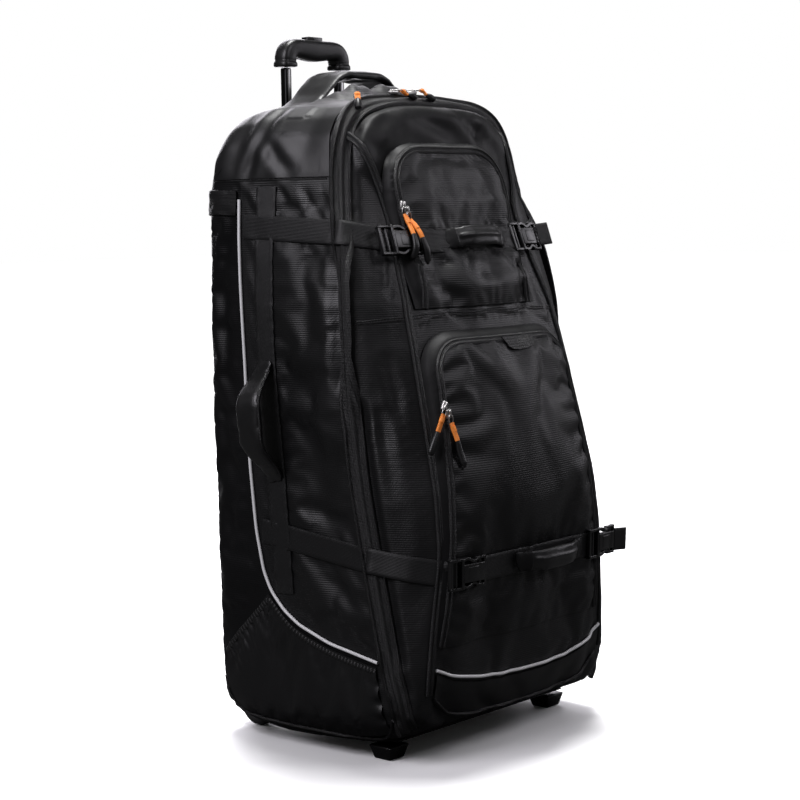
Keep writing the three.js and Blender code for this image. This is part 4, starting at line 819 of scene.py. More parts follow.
zip_tape, tree, shader = new_paint("zip_tape_black")
lengthwise, crosswise = band_axes(tree)
teeth = use_group(tree, ribs, Along=lengthwise, Pitch=0.0022)
relief = sum_node(tree, "MULTIPLY", teeth, use_group(tree, ribs, Along=crosswise, Pitch=0.0014))
tint(tree, shader, relief, (0.0016, 0.0016, 0.0018), (0.0052, 0.0052, 0.0056))
roughen(tree, shader, relief, 0.5, 0.34)
raise_bump(tree, shader, relief, 0.0006, 0.8)
mouth_run = [(MID_X - half, y, z) for y, z, half in ZIP_LINE]
mouth_run += [(MID_X + half, y, z) for y, z, half in reversed(ZIP_LINE[:-1])]
line = smooth_run(near_run(mouth_run, skin_tree), 30)
outs = outs_along(line, skin_tree, 10)
line = [p + out * ZIP_LIFT for p, out in zip(line, outs)]
seam = dots_tree(line)
for skin in (shell, lid):
    spots = points(skin)
    for k, spot in enumerate(spots):
        near, index, far = seam.find(Vector(spot))
        if far < DIP_REACH:
            high = (Vector(spot) - near).dot(outs[index])
            sink = max(0.0, high + DIP_BELOW) * min(1.0, (DIP_REACH - far) / DIP_SLOPE)
            spots[k] -= np.array(outs[index]) * sink
    put_points(skin, spots)
skin_tree = tree_of(shell, lid)
ground = tree_of(*ground_parts)
main_zip = fit(sweep("main_zip_tape", line, outs, section_of(MAIN_ZIP)), zip_tape, "zip", "main_zip")

# Pocket zips
# The same woven tape, narrower, with one welt rolled over the edge between each pocket's face and its side.
# It is swept along that edge; the pulls find their coil again by these lines.
POCKET_ZIP = [
    (-8.0, -9), (-8.4, -7.5), (-6.8, -3.6), (-5.6, -0.4), (-4.4, 1.7), (-2.8, 2.2), (-1.6, 0.8), (0, 0.6),
    (1.6, 0.8), (2.8, 2.6), (4.4, 2.6), (5.6, 1.2), (7.0, 0.5), (7.2, -2.0), (0, -4),
]


def cast_run(table, toward, axis_order, ground, step):
    places = []
    for a, b in run_of(table, step):
        start = [0, 0, 0]
        start[axis_order[0]], start[axis_order[1]] = a / 1000, b / 1000
        start = Vector(start) - Vector(toward) * 1.5
        hit, out, index, far = ground.ray_cast(start, Vector(toward))
        if hit is not None:
            places.append(hit)
    return places


def cast_on_front(table, ground, step):
    return cast_run(table, (0, 1, 0), (0, 2), ground, step)


def cast_on_side(table, sign, ground, step):
    return cast_run(table, (-sign, 0, 0), (1, 2), ground, step)


pocket_zips, zip_lines = [], {}
for name, (low, high, radius, middle, sides) in POCKETS.items():
    edge = []
    for x, z in pocket_rim(name):
        inset = read_off(POCKET_STAND[name], z, 2) + 3
        rise = max(0.0, z - (high - radius)) / radius
        lean = Vector((x - middle, 0, 0)).normalized() * math.sqrt(max(0, 1 - rise * rise))
        lean = lean + Vector((0, 0, 1)) * rise
        edge.append((x - inset * lean.x, z - inset * lean.z))
    line = smooth_run(cast_on_front(edge, ground, 4.0), 8)
    zip_lines[name] = line
    tape = sweep(name + "_pocket_zip_tape", line, outs_along(line, skin_tree, 8), section_of(POCKET_ZIP))
    pocket_zips.append(fit(tape, zip_tape, "zip", name + "_pocket_zip"))

# Edge piping of the raised front
# Black bound piping in two close rows, sewn in where the front meets its gussets.
# It is swept along the edge of the front, left and right, and lies on the cloth.
SIDES = (("left", -1), ("right", 1))
FRONT_PIPING = [
    (-6, 0), (-6, 1.5), (-5, 3.2), (-3.4, 3.6), (-1.6, 2.6), (0, 1.5),
    (1.6, 2.6), (3.4, 3.6), (5, 3.2), (6, 1.5), (6, 0), (0, -0.4),
]
for side, sign in SIDES:
    edge = [(MID_X + sign * fold_half(z, MID_X + sign), depth, z) for z, half, depth in FRONT_EDGE]
    line = smooth_run(near_run(edge, skin_tree), 10)
    piping = sweep("front_piping_%s_cord" % side, line, outs_along(line, skin_tree, 6),
                   section_of(FRONT_PIPING), ground, 0.0005)
    fit(piping, zip_tape, "zip", "front_piping_" + side)

# Pale piping
# Silver grey reflective piping, a cord in a folded strip, sewn in on the sides and above the foot of the front.
# A round section is swept along each seam.
KICK_EDGE = [
    (-201, 149), (-166, 135), (-110, 124), (-55, 118), (0, 115), (55, 115), (110, 119), (166, 133), (201, 149),
]


def ring_of(radius, sides, flat=1.0, rise=0.0):
    angles = np.linspace(0, 2 * math.pi, sides + 1)[:-1]
    return [(radius * math.cos(a), rise + flat * radius * math.sin(a)) for a in angles]


PIPING = section_of(ring_of(2.5, 10, rise=1.4))
pale, tree, shader = new_paint("piping_silver")
speck = use_group(tree, mottle, Vector=object_axes(tree)[0], Scale=900.0)
tint(tree, shader, speck, (0.60, 0.60, 0.61), (0.92, 0.92, 0.93))
roughen(tree, shader, speck, 0.34, 0.5)
raise_bump(tree, shader, speck, 0.0002, 0.4)
for side, sign in SIDES:
    line = smooth_run(cast_on_side(SIDE_PIPING, sign, skin_tree, 4.0), 6)
    piping = sweep("side_piping_%s_cord" % side, line, outs_along(line, skin_tree), PIPING, ground, 0.0012)
    fit(piping, pale, "piping", "side_piping_" + side)
line = smooth_run(cast_on_front([(x + MID_X, z) for x, z in KICK_EDGE], skin_tree, 4.0), 6)
piping = sweep("kick_piping_cord", line, outs_along(line, skin_tree), PIPING, ground, 0.0016)
fit(piping, pale, "piping", "kick_piping")

# Upright webbing
# Ribbed black polyester webbing, 38 mm wide, sewn down on each side from the yoke to the lower corner.
# A flat section is swept along it and lies on the cloth.
WEBBING_WIDE, WEBBING_THICK = 38, 1.8
webbing, tree, shader = new_paint("webbing_black")
lengthwise, crosswise = band_axes(tree)
long_rib = use_group(tree, ribs, Along=crosswise, Pitch=0.0021)
twill = use_group(tree, ribs, Along=sum_node(tree, "ADD", lengthwise, crosswise), Pitch=0.0019)
relief = sum_node(tree, "MULTIPLY_ADD", twill, 0.45, long_rib)
tint(tree, shader, relief, (0.0014, 0.0014, 0.0016), (0.0054, 0.0054, 0.0058))
roughen(tree, shader, relief, 0.62, 0.42)
raise_bump(tree, shader, relief, 0.0006, 0.4)
shader.inputs["Specular IOR Level"].default_value = 0.4


def flat_band(width, thick):
    half = width / 2
    top = [(s, thick) for s in np.linspace(-half + 1, half - 1, 9)]
    low = [(s, 0) for s in np.linspace(half, -half, 7)]
    return section_of([(-half, 0.5 * thick)] + top + [(half, 0.5 * thick)] + low)


for side, sign in SIDES:
    line = smooth_run(cast_on_side(SIDE_WEBBING, sign, skin_tree, 6.0), 8)
    band = sweep("side_webbing_%s_band" % side, line, outs_along(line, skin_tree, 6),
                 flat_band(WEBBING_WIDE, WEBBING_THICK), ground, 0.0008)
    ground_parts.append(fit(band, webbing, "webbing", "side_webbing_" + side))
ground_parts += [main_zip] + pocket_zips
ground = tree_of(*ground_parts)

# Compression straps
# Two straps of the same webbing, sewn in at the back of the sides and drawn tight round the front.
# Each bridges on a taut line from one high place to the next, and is cut where the buckles sit.
STRAP_LIFT = 0.0012
# Straps: name, buckles across in mm, ends on the sides
STRAPS = [("upper", (-137, 152), SIDE_STRAPS[0]), ("lower", (-138, 194), SIDE_STRAPS[1])]
for name, buckle_x, side_run in STRAPS:
    front_z = STRAP_Z[name]
    left = cast_on_side(side_run, -1, ground, 6.0)
    right = cast_on_side(side_run, 1, ground, 6.0)
    reach = read_off(LID_EDGE, front_z, 1) - 6
    front = cast_on_front([(MID_X - reach, front_z), (MID_X + reach, front_z)], ground, 6.0)
    bridge = []
    for spot in front:
        while len(bridge) > 1:
            a, b = bridge[-2], bridge[-1]
            if (b.x - a.x) * (spot.y - a.y) - (b.y - a.y) * (spot.x - a.x) > 0:
                break
            bridge.pop()
        bridge.append(spot)
    corners = [left[0], left[-1]] + bridge + [right[-1], right[0]]
    line = []
    for start, end in zip(corners, corners[1:]):
        count = max(1, int((end - start).length / 0.006))
        line += [start.lerp(end, k / count) for k in range(count)]
    line.append(corners[-1])
    heights = [p.z for p in line]
    for turn in range(24):
        line = smooth_run(line, 2)
        for i, p in enumerate(line):
            p.z = heights[i]
            if 0 < i < len(line) - 1:
                near, out, index, far = ground.find_nearest(p)
                depth = (p - near).dot(out)
                if depth < STRAP_LIFT:
                    p += out * (STRAP_LIFT - depth)
    outs = outs_along(line, ground, 10)
    at_left, at_right = [
        min(range(len(line)), key=lambda i: (line[i].x - x / 1000) ** 2 + max(0, line[i].y) ** 2)
        for x in buckle_x]
    stretches = (
        ("left", 0, at_left - 3), ("front", at_left + 3, at_right - 3), ("right", at_right + 3, len(line) - 1))
    for part, first, last in stretches:
        node = "%s_strap_%s" % (name, part)
        band = sweep(node + "_band", line[first:last + 1], outs[first:last + 1],
                     flat_band(WEBBING_WIDE, WEBBING_THICK), ground, 0.0010)
        ground_parts.append(fit(band, webbing, "webbing", node))
ground = tree_of(*ground_parts)

# Seams
# Two rows of stitching in a narrow folded strip: between the pockets across the front, and under each yoke.
# A low double ridge is swept along each seam.
SEAM = section_of([
    (-3.2, 0), (-3.0, 1.2), (-1.6, 1.9), (-0.4, 0.5), (0.4, 0.5), (1.6, 1.9), (3.0, 1.2), (3.2, 0), (0, -0.3)])
MID_SEAM = [
    (-226, -62, 652), (-192, -96, 656), (-157, -124, 660), (20, -130, 661),
    (192, -124, 660), (232, -96, 656), (266, -62, 652),
]
YOKE_SEAM = [(228, 868), (100, 869), (-2, 868)]
line = smooth_run(near_run(MID_SEAM, skin_tree), 8)
fit(sweep("mid_seam", line, outs_along(line, skin_tree, 5), SEAM), zip_tape, "zip")
for side, sign in SIDES:
    line = smooth_run(cast_on_side(YOKE_SEAM, sign, skin_tree, 5.0), 4)
    fit(sweep("yoke_seam_" + side, line, outs_along(line, skin_tree, 5), SEAM), zip_tape, "zip")

# Bound edges
# Black binding folded over the bottom edge of each corner panel and of the panel at the foot of the front.
# The piping's round section is swept along each edge.
BOTTOM_EDGE = [
    (207, 92), (199, 62), (182, 44), (150, 37), (60, 35), (-40, 35), (-104, 38), (-130, 52), (-142, 76),
]
KICK_FOOT = [(-181, 106), (-146, 76), (-90, 66), (20, 64), (130, 66), (186, 76), (221, 106)]
bound_runs = [("bottom_binding_" + side, cast_on_side(BOTTOM_EDGE, sign, ground, 4.0)) for side, sign in SIDES]
bound_runs.append(("kick_binding", cast_on_front(KICK_FOOT, ground, 4.0)))
for name, run in bound_runs:
    line = smooth_run(run, 10)
    fit(sweep(name, line, outs_along(line, skin_tree, 5), PIPING, ground, 0.0004), zip_tape, "zip")

# Elastic of the corner pockets
# Gathered black elastic sewn along the mouth of each lower corner panel.
# A rounded band is swept just below the panel's edge, with its gathers in the material.
ELASTIC = section_of([(-5, 0), (-5, 1.4), (-3, 2.6), (0, 2.9), (3, 2.6), (5, 1.4), (5, 0), (0, -0.3)])
ELASTIC_BELOW = 7
elastic, tree, shader = new_paint("elastic_black")
lengthwise, crosswise = band_axes(tree)
gather = use_group(tree, ribs, Along=lengthwise, Pitch=0.0065)
relief = sum_node(tree, "MULTIPLY_ADD", use_group(tree, ribs, Along=crosswise, Pitch=0.0022), 0.3, gather)
tint(tree, shader, gather, (0.0016, 0.0016, 0.0018), (0.0050, 0.0050, 0.0054))
roughen(tree, shader, gather, 0.6, 0.45)
raise_bump(tree, shader, relief, 0.0016, 0.8)
for side, sign in SIDES:
    lower = [(y, z - ELASTIC_BELOW) for y, z in CORNER_EDGE]
    line = smooth_run(cast_on_side(lower, sign, skin_tree, 4.0), 6)
    mouth = sweep("corner_elastic_" + side, line, outs_along(line, skin_tree, 5), ELASTIC, ground, 0.0012)
    fit(mouth, elastic, "coated")

# Shoulder loops
# Webbing folded round the back corners of the shoulders and sewn down, to hang or pull the bag by.
# It is swept on the cloth from the back to the side.
LOOP_Z, LOOP_THICK = 0.833, 2.2
# Rough run of the loop: from the middle, depth in metres
LOOP_RUN = [
    (0.15, 0.26), (0.19, 0.25), (0.225, 0.245), (0.246, 0.235), (0.252, 0.215), (0.253, 0.185), (0.253, 0.158),
]
for side, sign in SIDES:
    wrap = [skin_tree.find_nearest(Vector((MIDDLE + sign * x, y, LOOP_Z)))[0] for x, y in LOOP_RUN]
    line = smooth_run([Vector(p) for p in run_of([tuple(w * 1000) for w in wrap], 5.0) / 1000], 4)
    loop = sweep("shoulder_loop_%s_band" % side, line, outs_along(line, skin_tree, 5),
                 flat_band(WEBBING_WIDE, LOOP_THICK), ground, 0.0022)
    fit(loop, webbing, "webbing", "shoulder_loop_" + side)

# Strap ends
# Stiff free ends of the webbing that stand out past the right buckles.
# Each is swept along the middle of its CAD node.
TAIL_WIDE = 36


def node_spots(node):
    return np.array([tuple(nodes[node].matrix_world @ v.co) for v in nodes[node].data.vertices])


for name in ("upper", "lower"):
    spots = node_spots(name + "_strap_tail")
    middle = spots.mean(axis=0)
    axes = np.linalg.svd(spots - middle)[2]
    upright_first = abs(axes[0][2]) > abs(axes[1][2])
    wide, run = [Vector(axis) for axis in (axes[:2] if upright_first else axes[1::-1])]
    run = run if run.x > 0 else -run
    along = (spots - middle) @ np.array(run)
    line = []
    for k in np.linspace(along.min(), along.max(), 9):
        close = spots[np.argsort(np.abs(along - k))[:4]]
        bow = float(((close - middle) @ axes[2]).mean())
        line.append(Vector(middle) + run * float(k) + Vector(axes[2]) * bow)
    line = smooth_run(line, 3)
    out = run.cross(wide).normalized()
    out = out if out.y < 0 else -out
    tail = sweep(name + "_strap_tail_band", line, [out] * len(line), flat_band(TAIL_WIDE, WEBBING_THICK))
    fit(tail, webbing, "webbing", name + "_strap_tail")

# Pocket tab
# A half round embossed patch sewn on at the top of the lower pocket.
# It is laid on the pocket's face as the coated panels are laid on the shell.
TAB_LIFT, TAB_THICK = 0.0012, 0.0022
pocket_face = tree_of(pockets["lower"])
tab = lay_panel("lower_pocket_tab", "lower_pocket_tab_cloth", pocket_face, 0.0008, 4, 0.2)
put_points(tab, [
    (x, pocket_face.ray_cast(Vector((x, -1, z)), INTO_FRONT)[0].y - TAB_LIFT, z) for x, y, z in points(tab)])
thicken(tab, TAB_THICK)
tab_paint, tree, shader = new_paint("tab_embossed")
place, x_axis, y_axis, z_axis = object_axes(tree)
dot_rows = [use_group(tree, ribs, Along=axis, Pitch=0.004) for axis in (x_axis, z_axis)]
dots = sum_node(tree, "MULTIPLY", *dot_rows)
tint(tree, shader, dots, (0.0016, 0.0016, 0.0018), (0.0060, 0.0060, 0.0064))
roughen(tree, shader, dots, 0.55, 0.38)
raise_bump(tree, shader, dots, 0.001, 0.8)
fit(tab, tab_paint, "coated", "lower_pocket_tab")

# Padded handles
# Foam wrapped in coated cloth and sewn to webbing: on the left side, on the top and on both front straps.
# Each CAD solid is meshed evenly and blown up a little as cloth, and the side handle is bound along its front
# edge.
# Pads: node, mesh size, how far the foam swells in metres
PADS = [
    ("side_handle", 0.004, 0.003), ("top_handle", 0.004, 0.003),
    ("upper_grip_pad", 0.003, 0.0025), ("lower_grip_pad", 0.003, 0.0025),
]
pad_cloth = mottled_paint(
    "pad_coated", 22.0, (0.0028, 0.0028, 0.0030), (0.0068, 0.0068, 0.0072), (0.34, 0.48), 480.0, 0.0005, 0.45)
pads = {}
for node, mesh_size, cap in PADS:
    pad = copy_node(node, node + "_pad")
    spots, out = points(pad), normals(pad)
    if node == "top_handle":
        # It is thick in the middle, where the hand closes round it.
        middle = np.exp(-(((spots[:, 0] - MIDDLE) / 0.075) ** 2))
        spots[:, 2] -= 0.004 * middle * (out[:, 2] < -0.3)
        put_points(pad, spots)
    if node == "side_handle":
        # Its face is broad and flat in the middle and narrows to its sewn ends.
        share = (spots[:, 2] - spots[:, 2].min()) / np.ptp(spots[:, 2])
        line_y, line_z = np.array(SIDE_WEBBING[::-1]).T
        line_y = np.interp(spots[:, 2] * 1000, line_z, line_y) / 1000
        spots[:, 1] = line_y + (spots[:, 1] - line_y) * (0.72 + 0.42 * np.sin(np.pi * share))
        put_points(pad, spots)
    apply(pad, "REMESH", mode="VOXEL", voxel_size=mesh_size)
    apply(pad, "SMOOTH", factor=0.5, iterations=4)
    let_out(pad, np.zeros(len(pad.data.vertices)), slack=0.06, pressure=3.0, cap=cap, stiff=8.0, bend=0.6)
    apply(pad, "SUBSURF", levels=1, render_levels=1)
    activate(pad)
    bpy.ops.object.shade_smooth()
    pads[node] = fit(pad, pad_cloth, "pad", node)
    if node.endswith("grip_pad"):
        # A ridge runs along the roll, and a cuff of duller cloth is sewn round each end.
        spots, out = points(pad), normals(pad)
        share = (spots[:, 0] - spots[:, 0].min()) / np.ptp(spots[:, 0])
        stations = np.linspace(spots[:, 0].min(), spots[:, 0].max(), 24)
        hearts = [spots[np.abs(spots[:, 0] - x) < 0.006][:, 2].mean() for x in stations]
        level = spots[:, 2] - np.interp(spots[:, 0], stations, hearts)
        roll = np.clip((0.5 - np.abs(share - 0.5) - 0.15) / 0.04, 0, 1)
        rise = 0.0022 * roll * np.exp(-((level - 0.002) / 0.0035) ** 2) + 0.0016 * (roll == 0)
        put_points(pad, spots + out * rise[:, None])
        pad.data.materials.append(side_cloth)
        for face in pad.data.polygons:
            face.material_index = 0 if roll[list(face.vertices)].max() > 0 else 1
# The front edge of the side handle is bound.
spots = points(pads["side_handle"])
rim = []
for z in np.linspace(spots[:, 2].min() + 0.012, spots[:, 2].max() - 0.012, 60):
    close = spots[np.abs(spots[:, 2] - z) < 0.004]
    rim.append(Vector(close[close[:, 1].argmin()]) + Vector((-0.0006, 0.0012, 0)))
rim = smooth_run(rim, 4)
rim_outs = [Vector((-1, -0.4, 0)).normalized()] * len(rim)
fit(sweep("side_handle_binding", rim, rim_outs, section_of(ring_of(2.0, 8))), zip_tape, "zip")

# Buckles
# Moulded black side release buckles: a ladder end that holds the strap, a flat body, and two sprung
# prongs whose curved shoulders show in the notches above and below.
# One is modelled flat and copied to its four places.
BUCKLES = ("buckle_upper_left", "buckle_upper_right", "buckle_lower_left", "buckle_lower_right")
BUCKLE_ROUND = 1.2
# Bars of the buckle: middle across, middle up, length, height, low face, thickness in mm
BUCKLE_BARS = [
    (-36.5, 0, 5, 46, 1.5, 8), (-25.5, 0, 4.5, 40, 0.5, 7), (-14.5, 0, 5, 46, 1.0, 10),
    (-25.5, 21, 27, 4.5, 1.0, 9), (-25.5, -21, 27, 4.5, 1.0, 9),
    (8, 0, 44, 27, 1.0, 11), (6, 0, 22, 19, 9.5, 3.2),
    (32.5, 0, 4.5, 46, 1.5, 8), (24, 20.5, 20, 4, 1.5, 8), (24, -20.5, 20, 4, 1.5, 8), (24, 0, 6, 38, 0.8, 6.5),
]
PRONG = [(-13, 19), (-6, 21.5), (1, 20.5), (6, 16.5), (11, 15.5), (16, 18.5), (22, 20.5)]
PRONG_SECTION = section_of([(-2.2, -3.6), (-2.2, 3.6), (-1.4, 4.4), (1.4, 4.4), (2.2, 3.6), (2.2, -3.6)])
plastic = mottled_paint(
    "moulded_black", 40.0, (0.0020, 0.0020, 0.0022), (0.0052, 0.0052, 0.0055), (0.24, 0.36),
    1400.0, 0.00025, 0.35, 0.6)


def bar(across, up, length, height, low, thick, round_by):
    bpy.ops.mesh.primitive_cube_add(size=1, location=(across / 1000, up / 1000, (low + thick / 2) / 1000))
    block = bpy.context.object
    block.scale = (length / 1000, height / 1000, thick / 1000)
    activate(block)
    bpy.ops.object.transform_apply(location=True, rotation=True, scale=True)
    apply(block, "BEVEL", width=round_by / 1000, segments=3, limit_method="NONE")
    return block


def join(objs, name):
    bpy.ops.object.select_all(action="DESELECT")
    for obj in objs:
        obj.select_set(True)
    bpy.context.view_layer.objects.active = objs[0]
    bpy.ops.object.join()
    objs[0].name = name
    return objs[0]


# The corners of a CAD node, their middle, and the node's long, wide and thin directions
def lay_flat(node):
    spots = np.unique(np.round(node_spots(node), 6), axis=0)
    axes = np.linalg.svd(spots - spots.mean(axis=0), full_matrices=False)[2]
    return spots, Vector(spots.mean(axis=0)), [Vector(axis) for axis in axes]


# A copy of a pattern with its own mesh, turned to three directions and set in its seat
def set_copy(pattern, name, across, up, out, seat):
    copy = bpy.data.objects.new(name, pattern.data.copy())
    bpy.context.collection.objects.link(copy)
    turn = Matrix((across, up, out)).transposed().to_4x4()
    turn.translation = seat
    copy.data.transform(turn)
    return copy


buckle_bits = [bar(*row, BUCKLE_ROUND) for row in BUCKLE_BARS]
for sign in (1, -1):
    curve = smooth_run([Vector((x / 1000, sign * y / 1000, 0.0055)) for x, y in run_of(PRONG, 1.5)], 4)
    buckle_bits.append(sweep("prong", curve, [Vector((0, 0, 1))] * len(curve), PRONG_SECTION))
pattern = join(buckle_bits, "buckle_pattern")
soften(pattern, 35)
buckles = []
for node in BUCKLES:
    spots, middle, axes = lay_flat(node)
    along = axes[0] if axes[0].x > 0 else -axes[0]
    out = axes[2] if axes[2].y < 0 else -axes[2]
    reach = (spots - np.array(middle)) @ np.array(out)
    length = (spots - np.array(middle)) @ np.array(along)
    seat = middle + out * float(reach.min()) + along * float((length.max() + length.min()) / 2)
    buckle = set_copy(pattern, node + "_moulded", along, out.cross(along), out, seat)
    buckles.append(fit(buckle, plastic, "plastic", node))
bpy.data.objects.remove(pattern)

# Zip pulls
# A nickel slider with a wire ring, a short orange tape through the ring and a soft black moulded end.
# The slider is modelled once and copied; each tape and end hangs over what is under it.
# Pulls: node, tape and end lengths in metres
PULLS = [
    ("top_pull_left", 0.016, 0.020), ("top_pull_middle", 0.016, 0.020), ("top_pull_right", 0.016, 0.020),
    ("upper_pull_left", 0.028, 0.038), ("upper_pull_right", 0.027, 0.040),
    ("lower_pull_left", 0.027, 0.036), ("lower_pull_right", 0.026, 0.040),
]
PULL_STEPS = 25
PULL_CLEAR, TOP_PULL_CLEAR = 0.0052, 0.0048
COIL_REACH = 0.0035
nickel, tree, shader = new_paint("slider_nickel")
scuff = use_group(tree, mottle, Vector=object_axes(tree)[0], Scale=300.0)
tint(tree, shader, scuff, (0.42, 0.41, 0.40), (0.72, 0.71, 0.69))
roughen(tree, shader, scuff, 0.22, 0.42, 0.3, 0.7)
shader.inputs["Metallic"].default_value = 1.0
orange, tree, shader = new_paint("tape_orange")
place, x_axis, y_axis, z_axis = object_axes(tree)
slants = [sum_node(tree, task, x_axis, z_axis) for task in ("ADD", "SUBTRACT")]
knit = sum_node(tree, "MULTIPLY", *[use_group(tree, ribs, Along=slant, Pitch=0.0013) for slant in slants])
tint(tree, shader, knit, (0.95, 0.20, 0.015), (1.0, 0.40, 0.06))
roughen(tree, shader, knit, 0.6, 0.45)
raise_bump(tree, shader, knit, 0.0004, 0.7)
rubber, tree, shader = new_paint("pull_end_black")
place, x_axis, y_axis, z_axis = object_axes(tree)
speck = use_group(tree, mottle, Vector=place, Scale=500.0)
tint(tree, shader, speck, (0.0026, 0.0026, 0.0028), (0.0072, 0.0072, 0.0076))
roughen(tree, shader, speck, 0.3, 0.45)
raise_bump(tree, shader, use_group(tree, ribs, Along=z_axis, Pitch=0.003), 0.0003, 0.3)
slider_bits = [bar(0, 0, 10, 14, -2, 5, 1.6), bar(0, 1, 4, 9, 2.6, 3.0, 1.1)]
ring_turns = np.linspace(0, 2 * math.pi, 28)
ring = [Vector((0.0044 * math.cos(a), -0.0085 + 0.0080 * math.sin(a), 0.0042)) for a in ring_turns]
slider_bits.append(sweep("ring", ring, [Vector((0, 0, 1))] * len(ring), ring_of(0.0010, 8)))
slider = join(slider_bits, "slider_pattern")
soften(slider, 45)
pull_ground = tree_of(*ground_parts, *buckles)
for node, tape_long, end_long in PULLS:
    spots, middle, axes = lay_flat(node)
    on_top = node.startswith("top")
    whole = tape_long + end_long
    down, face_out = axes[0], axes[2]
    if on_top:
        down = down if down.y < 0 else -down
        face_out = face_out if face_out.z > 0 else -face_out
    else:
        down = down if down.z < 0 else -down
        face_out = face_out if face_out.y < 0 else -face_out
    reach = (spots - np.array(middle)) @ np.array(down)
    seat = middle + down * float(reach.min() + 0.002)
    if on_top:
        near, normal, index, far = pull_ground.ray_cast(seat + Vector((0, 0, 0.2)), Vector((0, 0, -1)))
    else:
        # The slider runs on the coil nearest to it.
        coil = min(zip_lines[node.split("_")[0]], key=lambda p: (p.x - seat.x) ** 2 + (p.z - seat.z) ** 2)
        near_x = coil.x + min(COIL_REACH, max(-COIL_REACH, seat.x - coil.x))
        near, normal, index, far = pull_ground.ray_cast(Vector((near_x, -1, coil.z)), INTO_FRONT)
    seat = near + face_out * 0.0022
    down = (down - face_out * down.dot(face_out)).normalized()
    wide = (-down).cross(face_out)
    body = set_copy(slider, node + "_slider", wide, -down, face_out, seat)
    body.data.materials.append(nickel)
    start = seat + down * 0.013 + face_out * 0.0042
    run = []
    for k in np.linspace(0, 1, PULL_STEPS + 1):
        if on_top:
            # On the top it droops along its way and lies on what is under it.
            fall = (down * 0.62 - Vector((0, 0, 0.78))) if k > 0.1 else down
            spot = run[-1] + fall * whole / PULL_STEPS if run else start
            near, normal, index, far = pull_ground.find_nearest(spot)
            depth = (spot - near).dot(normal)
            if depth < TOP_PULL_CLEAR:
                spot = spot + normal * (TOP_PULL_CLEAR - depth)
        else:
            spot = start + down * whole * float(k) - face_out * 0.003 * float(k)
            under, normal, index, far = pull_ground.ray_cast(spot + face_out * 0.3, -face_out)
            depth = (spot - under).dot(face_out)
            if depth < PULL_CLEAR:
                spot = spot + face_out * (PULL_CLEAR - depth)
        run.append(spot)
    # It hangs free over hollows: no point lies deeper than a straight drop between its neighbours.
    for turn in range(0 if on_top else 12):
        for k in range(1, PULL_STEPS):
            between = (run[k - 1] + run[k + 1]) / 2
            if (between - run[k]).dot(face_out) > 0:
                run[k] = between
    run = smooth_run(run, 8)
    cut = int(round(PULL_STEPS * tape_long / whole))
    outs = [face_out] * (PULL_STEPS + 1)
    bits = [body]
    for shift in (-0.0016, 0.0016):
        strand = [p + wide * shift for p in run[:cut + 1]]
        bits.append(sweep("tape", strand, outs[:cut + 1], ring_of(0.0029, 8, 0.75)))
    bits.append(sweep("bulge", run[2:6], outs[2:6], ring_of(0.0046, 10, 0.75)))
    for bit in bits[1:]:
        bit.data.materials.append(orange)
    # The moulded end swells in its middle and is rounded off at its tip.
    end_run = run[cut:]
    tip = sweep("tip", end_run, outs[cut:], ring_of(0.0054, 12, 0.85))
    hub_at = [min(range(len(end_run)), key=lambda i: (Vector(p) - end_run[i]).length) for p in points(tip)]
    hubs = np.array([tuple(end_run[i]) for i in hub_at])
    share = np.array(hub_at) / (len(end_run) - 1)
    girth = 0.72 + 0.35 * np.sin(np.pi * np.clip(share * 0.8, 0, 1)) - np.where(share > 0.93, 0.45, 0)
    put_points(tip, hubs + (points(tip) - hubs) * girth[:, None])
    tip.data.materials.append(rubber)
    pull = join(bits + [tip], node + "_slider")
    soften(pull, 45)
    fit(pull, None, "cord", node)
bpy.data.objects.remove(slider)

# Trolley grip
# A moulded grip with a belly for the fingers, flared collars at its ears and a push button in its top.
# A rounded block section is swept along the bar and shaped by its place; the button is the CAD solid, rounded.
LEG_DEPTH = 0.2282
GRIP_HALF_DEEP, GRIP_HALF_HIGH, GRIP_SQUARE = 0.0158, 0.0155, 0.62
COLLAR_FLARE, COLLAR_NECK, BELLY = 0.10, 0.06, 0.28
# Left half of the bar: across, height in mm
GRIP_BAR = [
    (-42.5, 1050.6), (-42.5, 1058), (-42.5, 1066), (-40.5, 1073.5),
    (-34.5, 1079.5), (-26, 1082), (-10, 1082), (20, 1082),
]
grip_run = GRIP_BAR + [(2 * MID_X - x, z) for x, z in reversed(GRIP_BAR[:-1])]
line = smooth_run([Vector((x / 1000, LEG_DEPTH, z / 1000)) for x, z in run_of(grip_run, 2.5)], 8)
count = len(line)
outs = []
for i in range(count):
    tangent = (line[min(i + 1, count - 1)] - line[max(i - 1, 0)]).normalized()
    outs.append(Vector((0, 1, 0)).cross(tangent).normalized())
if outs[count // 2].z < 0:
    outs = [-out for out in outs]
block = [
    (GRIP_HALF_DEEP * math.copysign(abs(c) ** GRIP_SQUARE, c),
     GRIP_HALF_HIGH * math.copysign(abs(s) ** GRIP_SQUARE, s))
    for c, s in ring_of(1, 24)]
grip = sweep("trolley_grip_moulded", line, outs, block)
spots = points(grip)
heart_line = dots_tree(line)
for k, spot in enumerate(spots):
    near, i, far = heart_line.find(Vector(spot))
    share = i / (count - 1)
    arm = Vector(spot) - near
    height = arm.dot(outs[i])
    if share < 0.045 or share > 0.955:
        spots[k] += np.array(arm) * COLLAR_FLARE
    elif share < 0.06 or share > 0.94:
        spots[k] -= np.array(arm) * COLLAR_NECK
    if height < 0:
        spots[k] += np.array(outs[i]) * height * BELLY * math.exp(-((share - 0.5) / 0.17) ** 2)
put_points(grip, spots)
apply(grip, "SUBSURF", levels=1, render_levels=1)
soften(grip, 50)
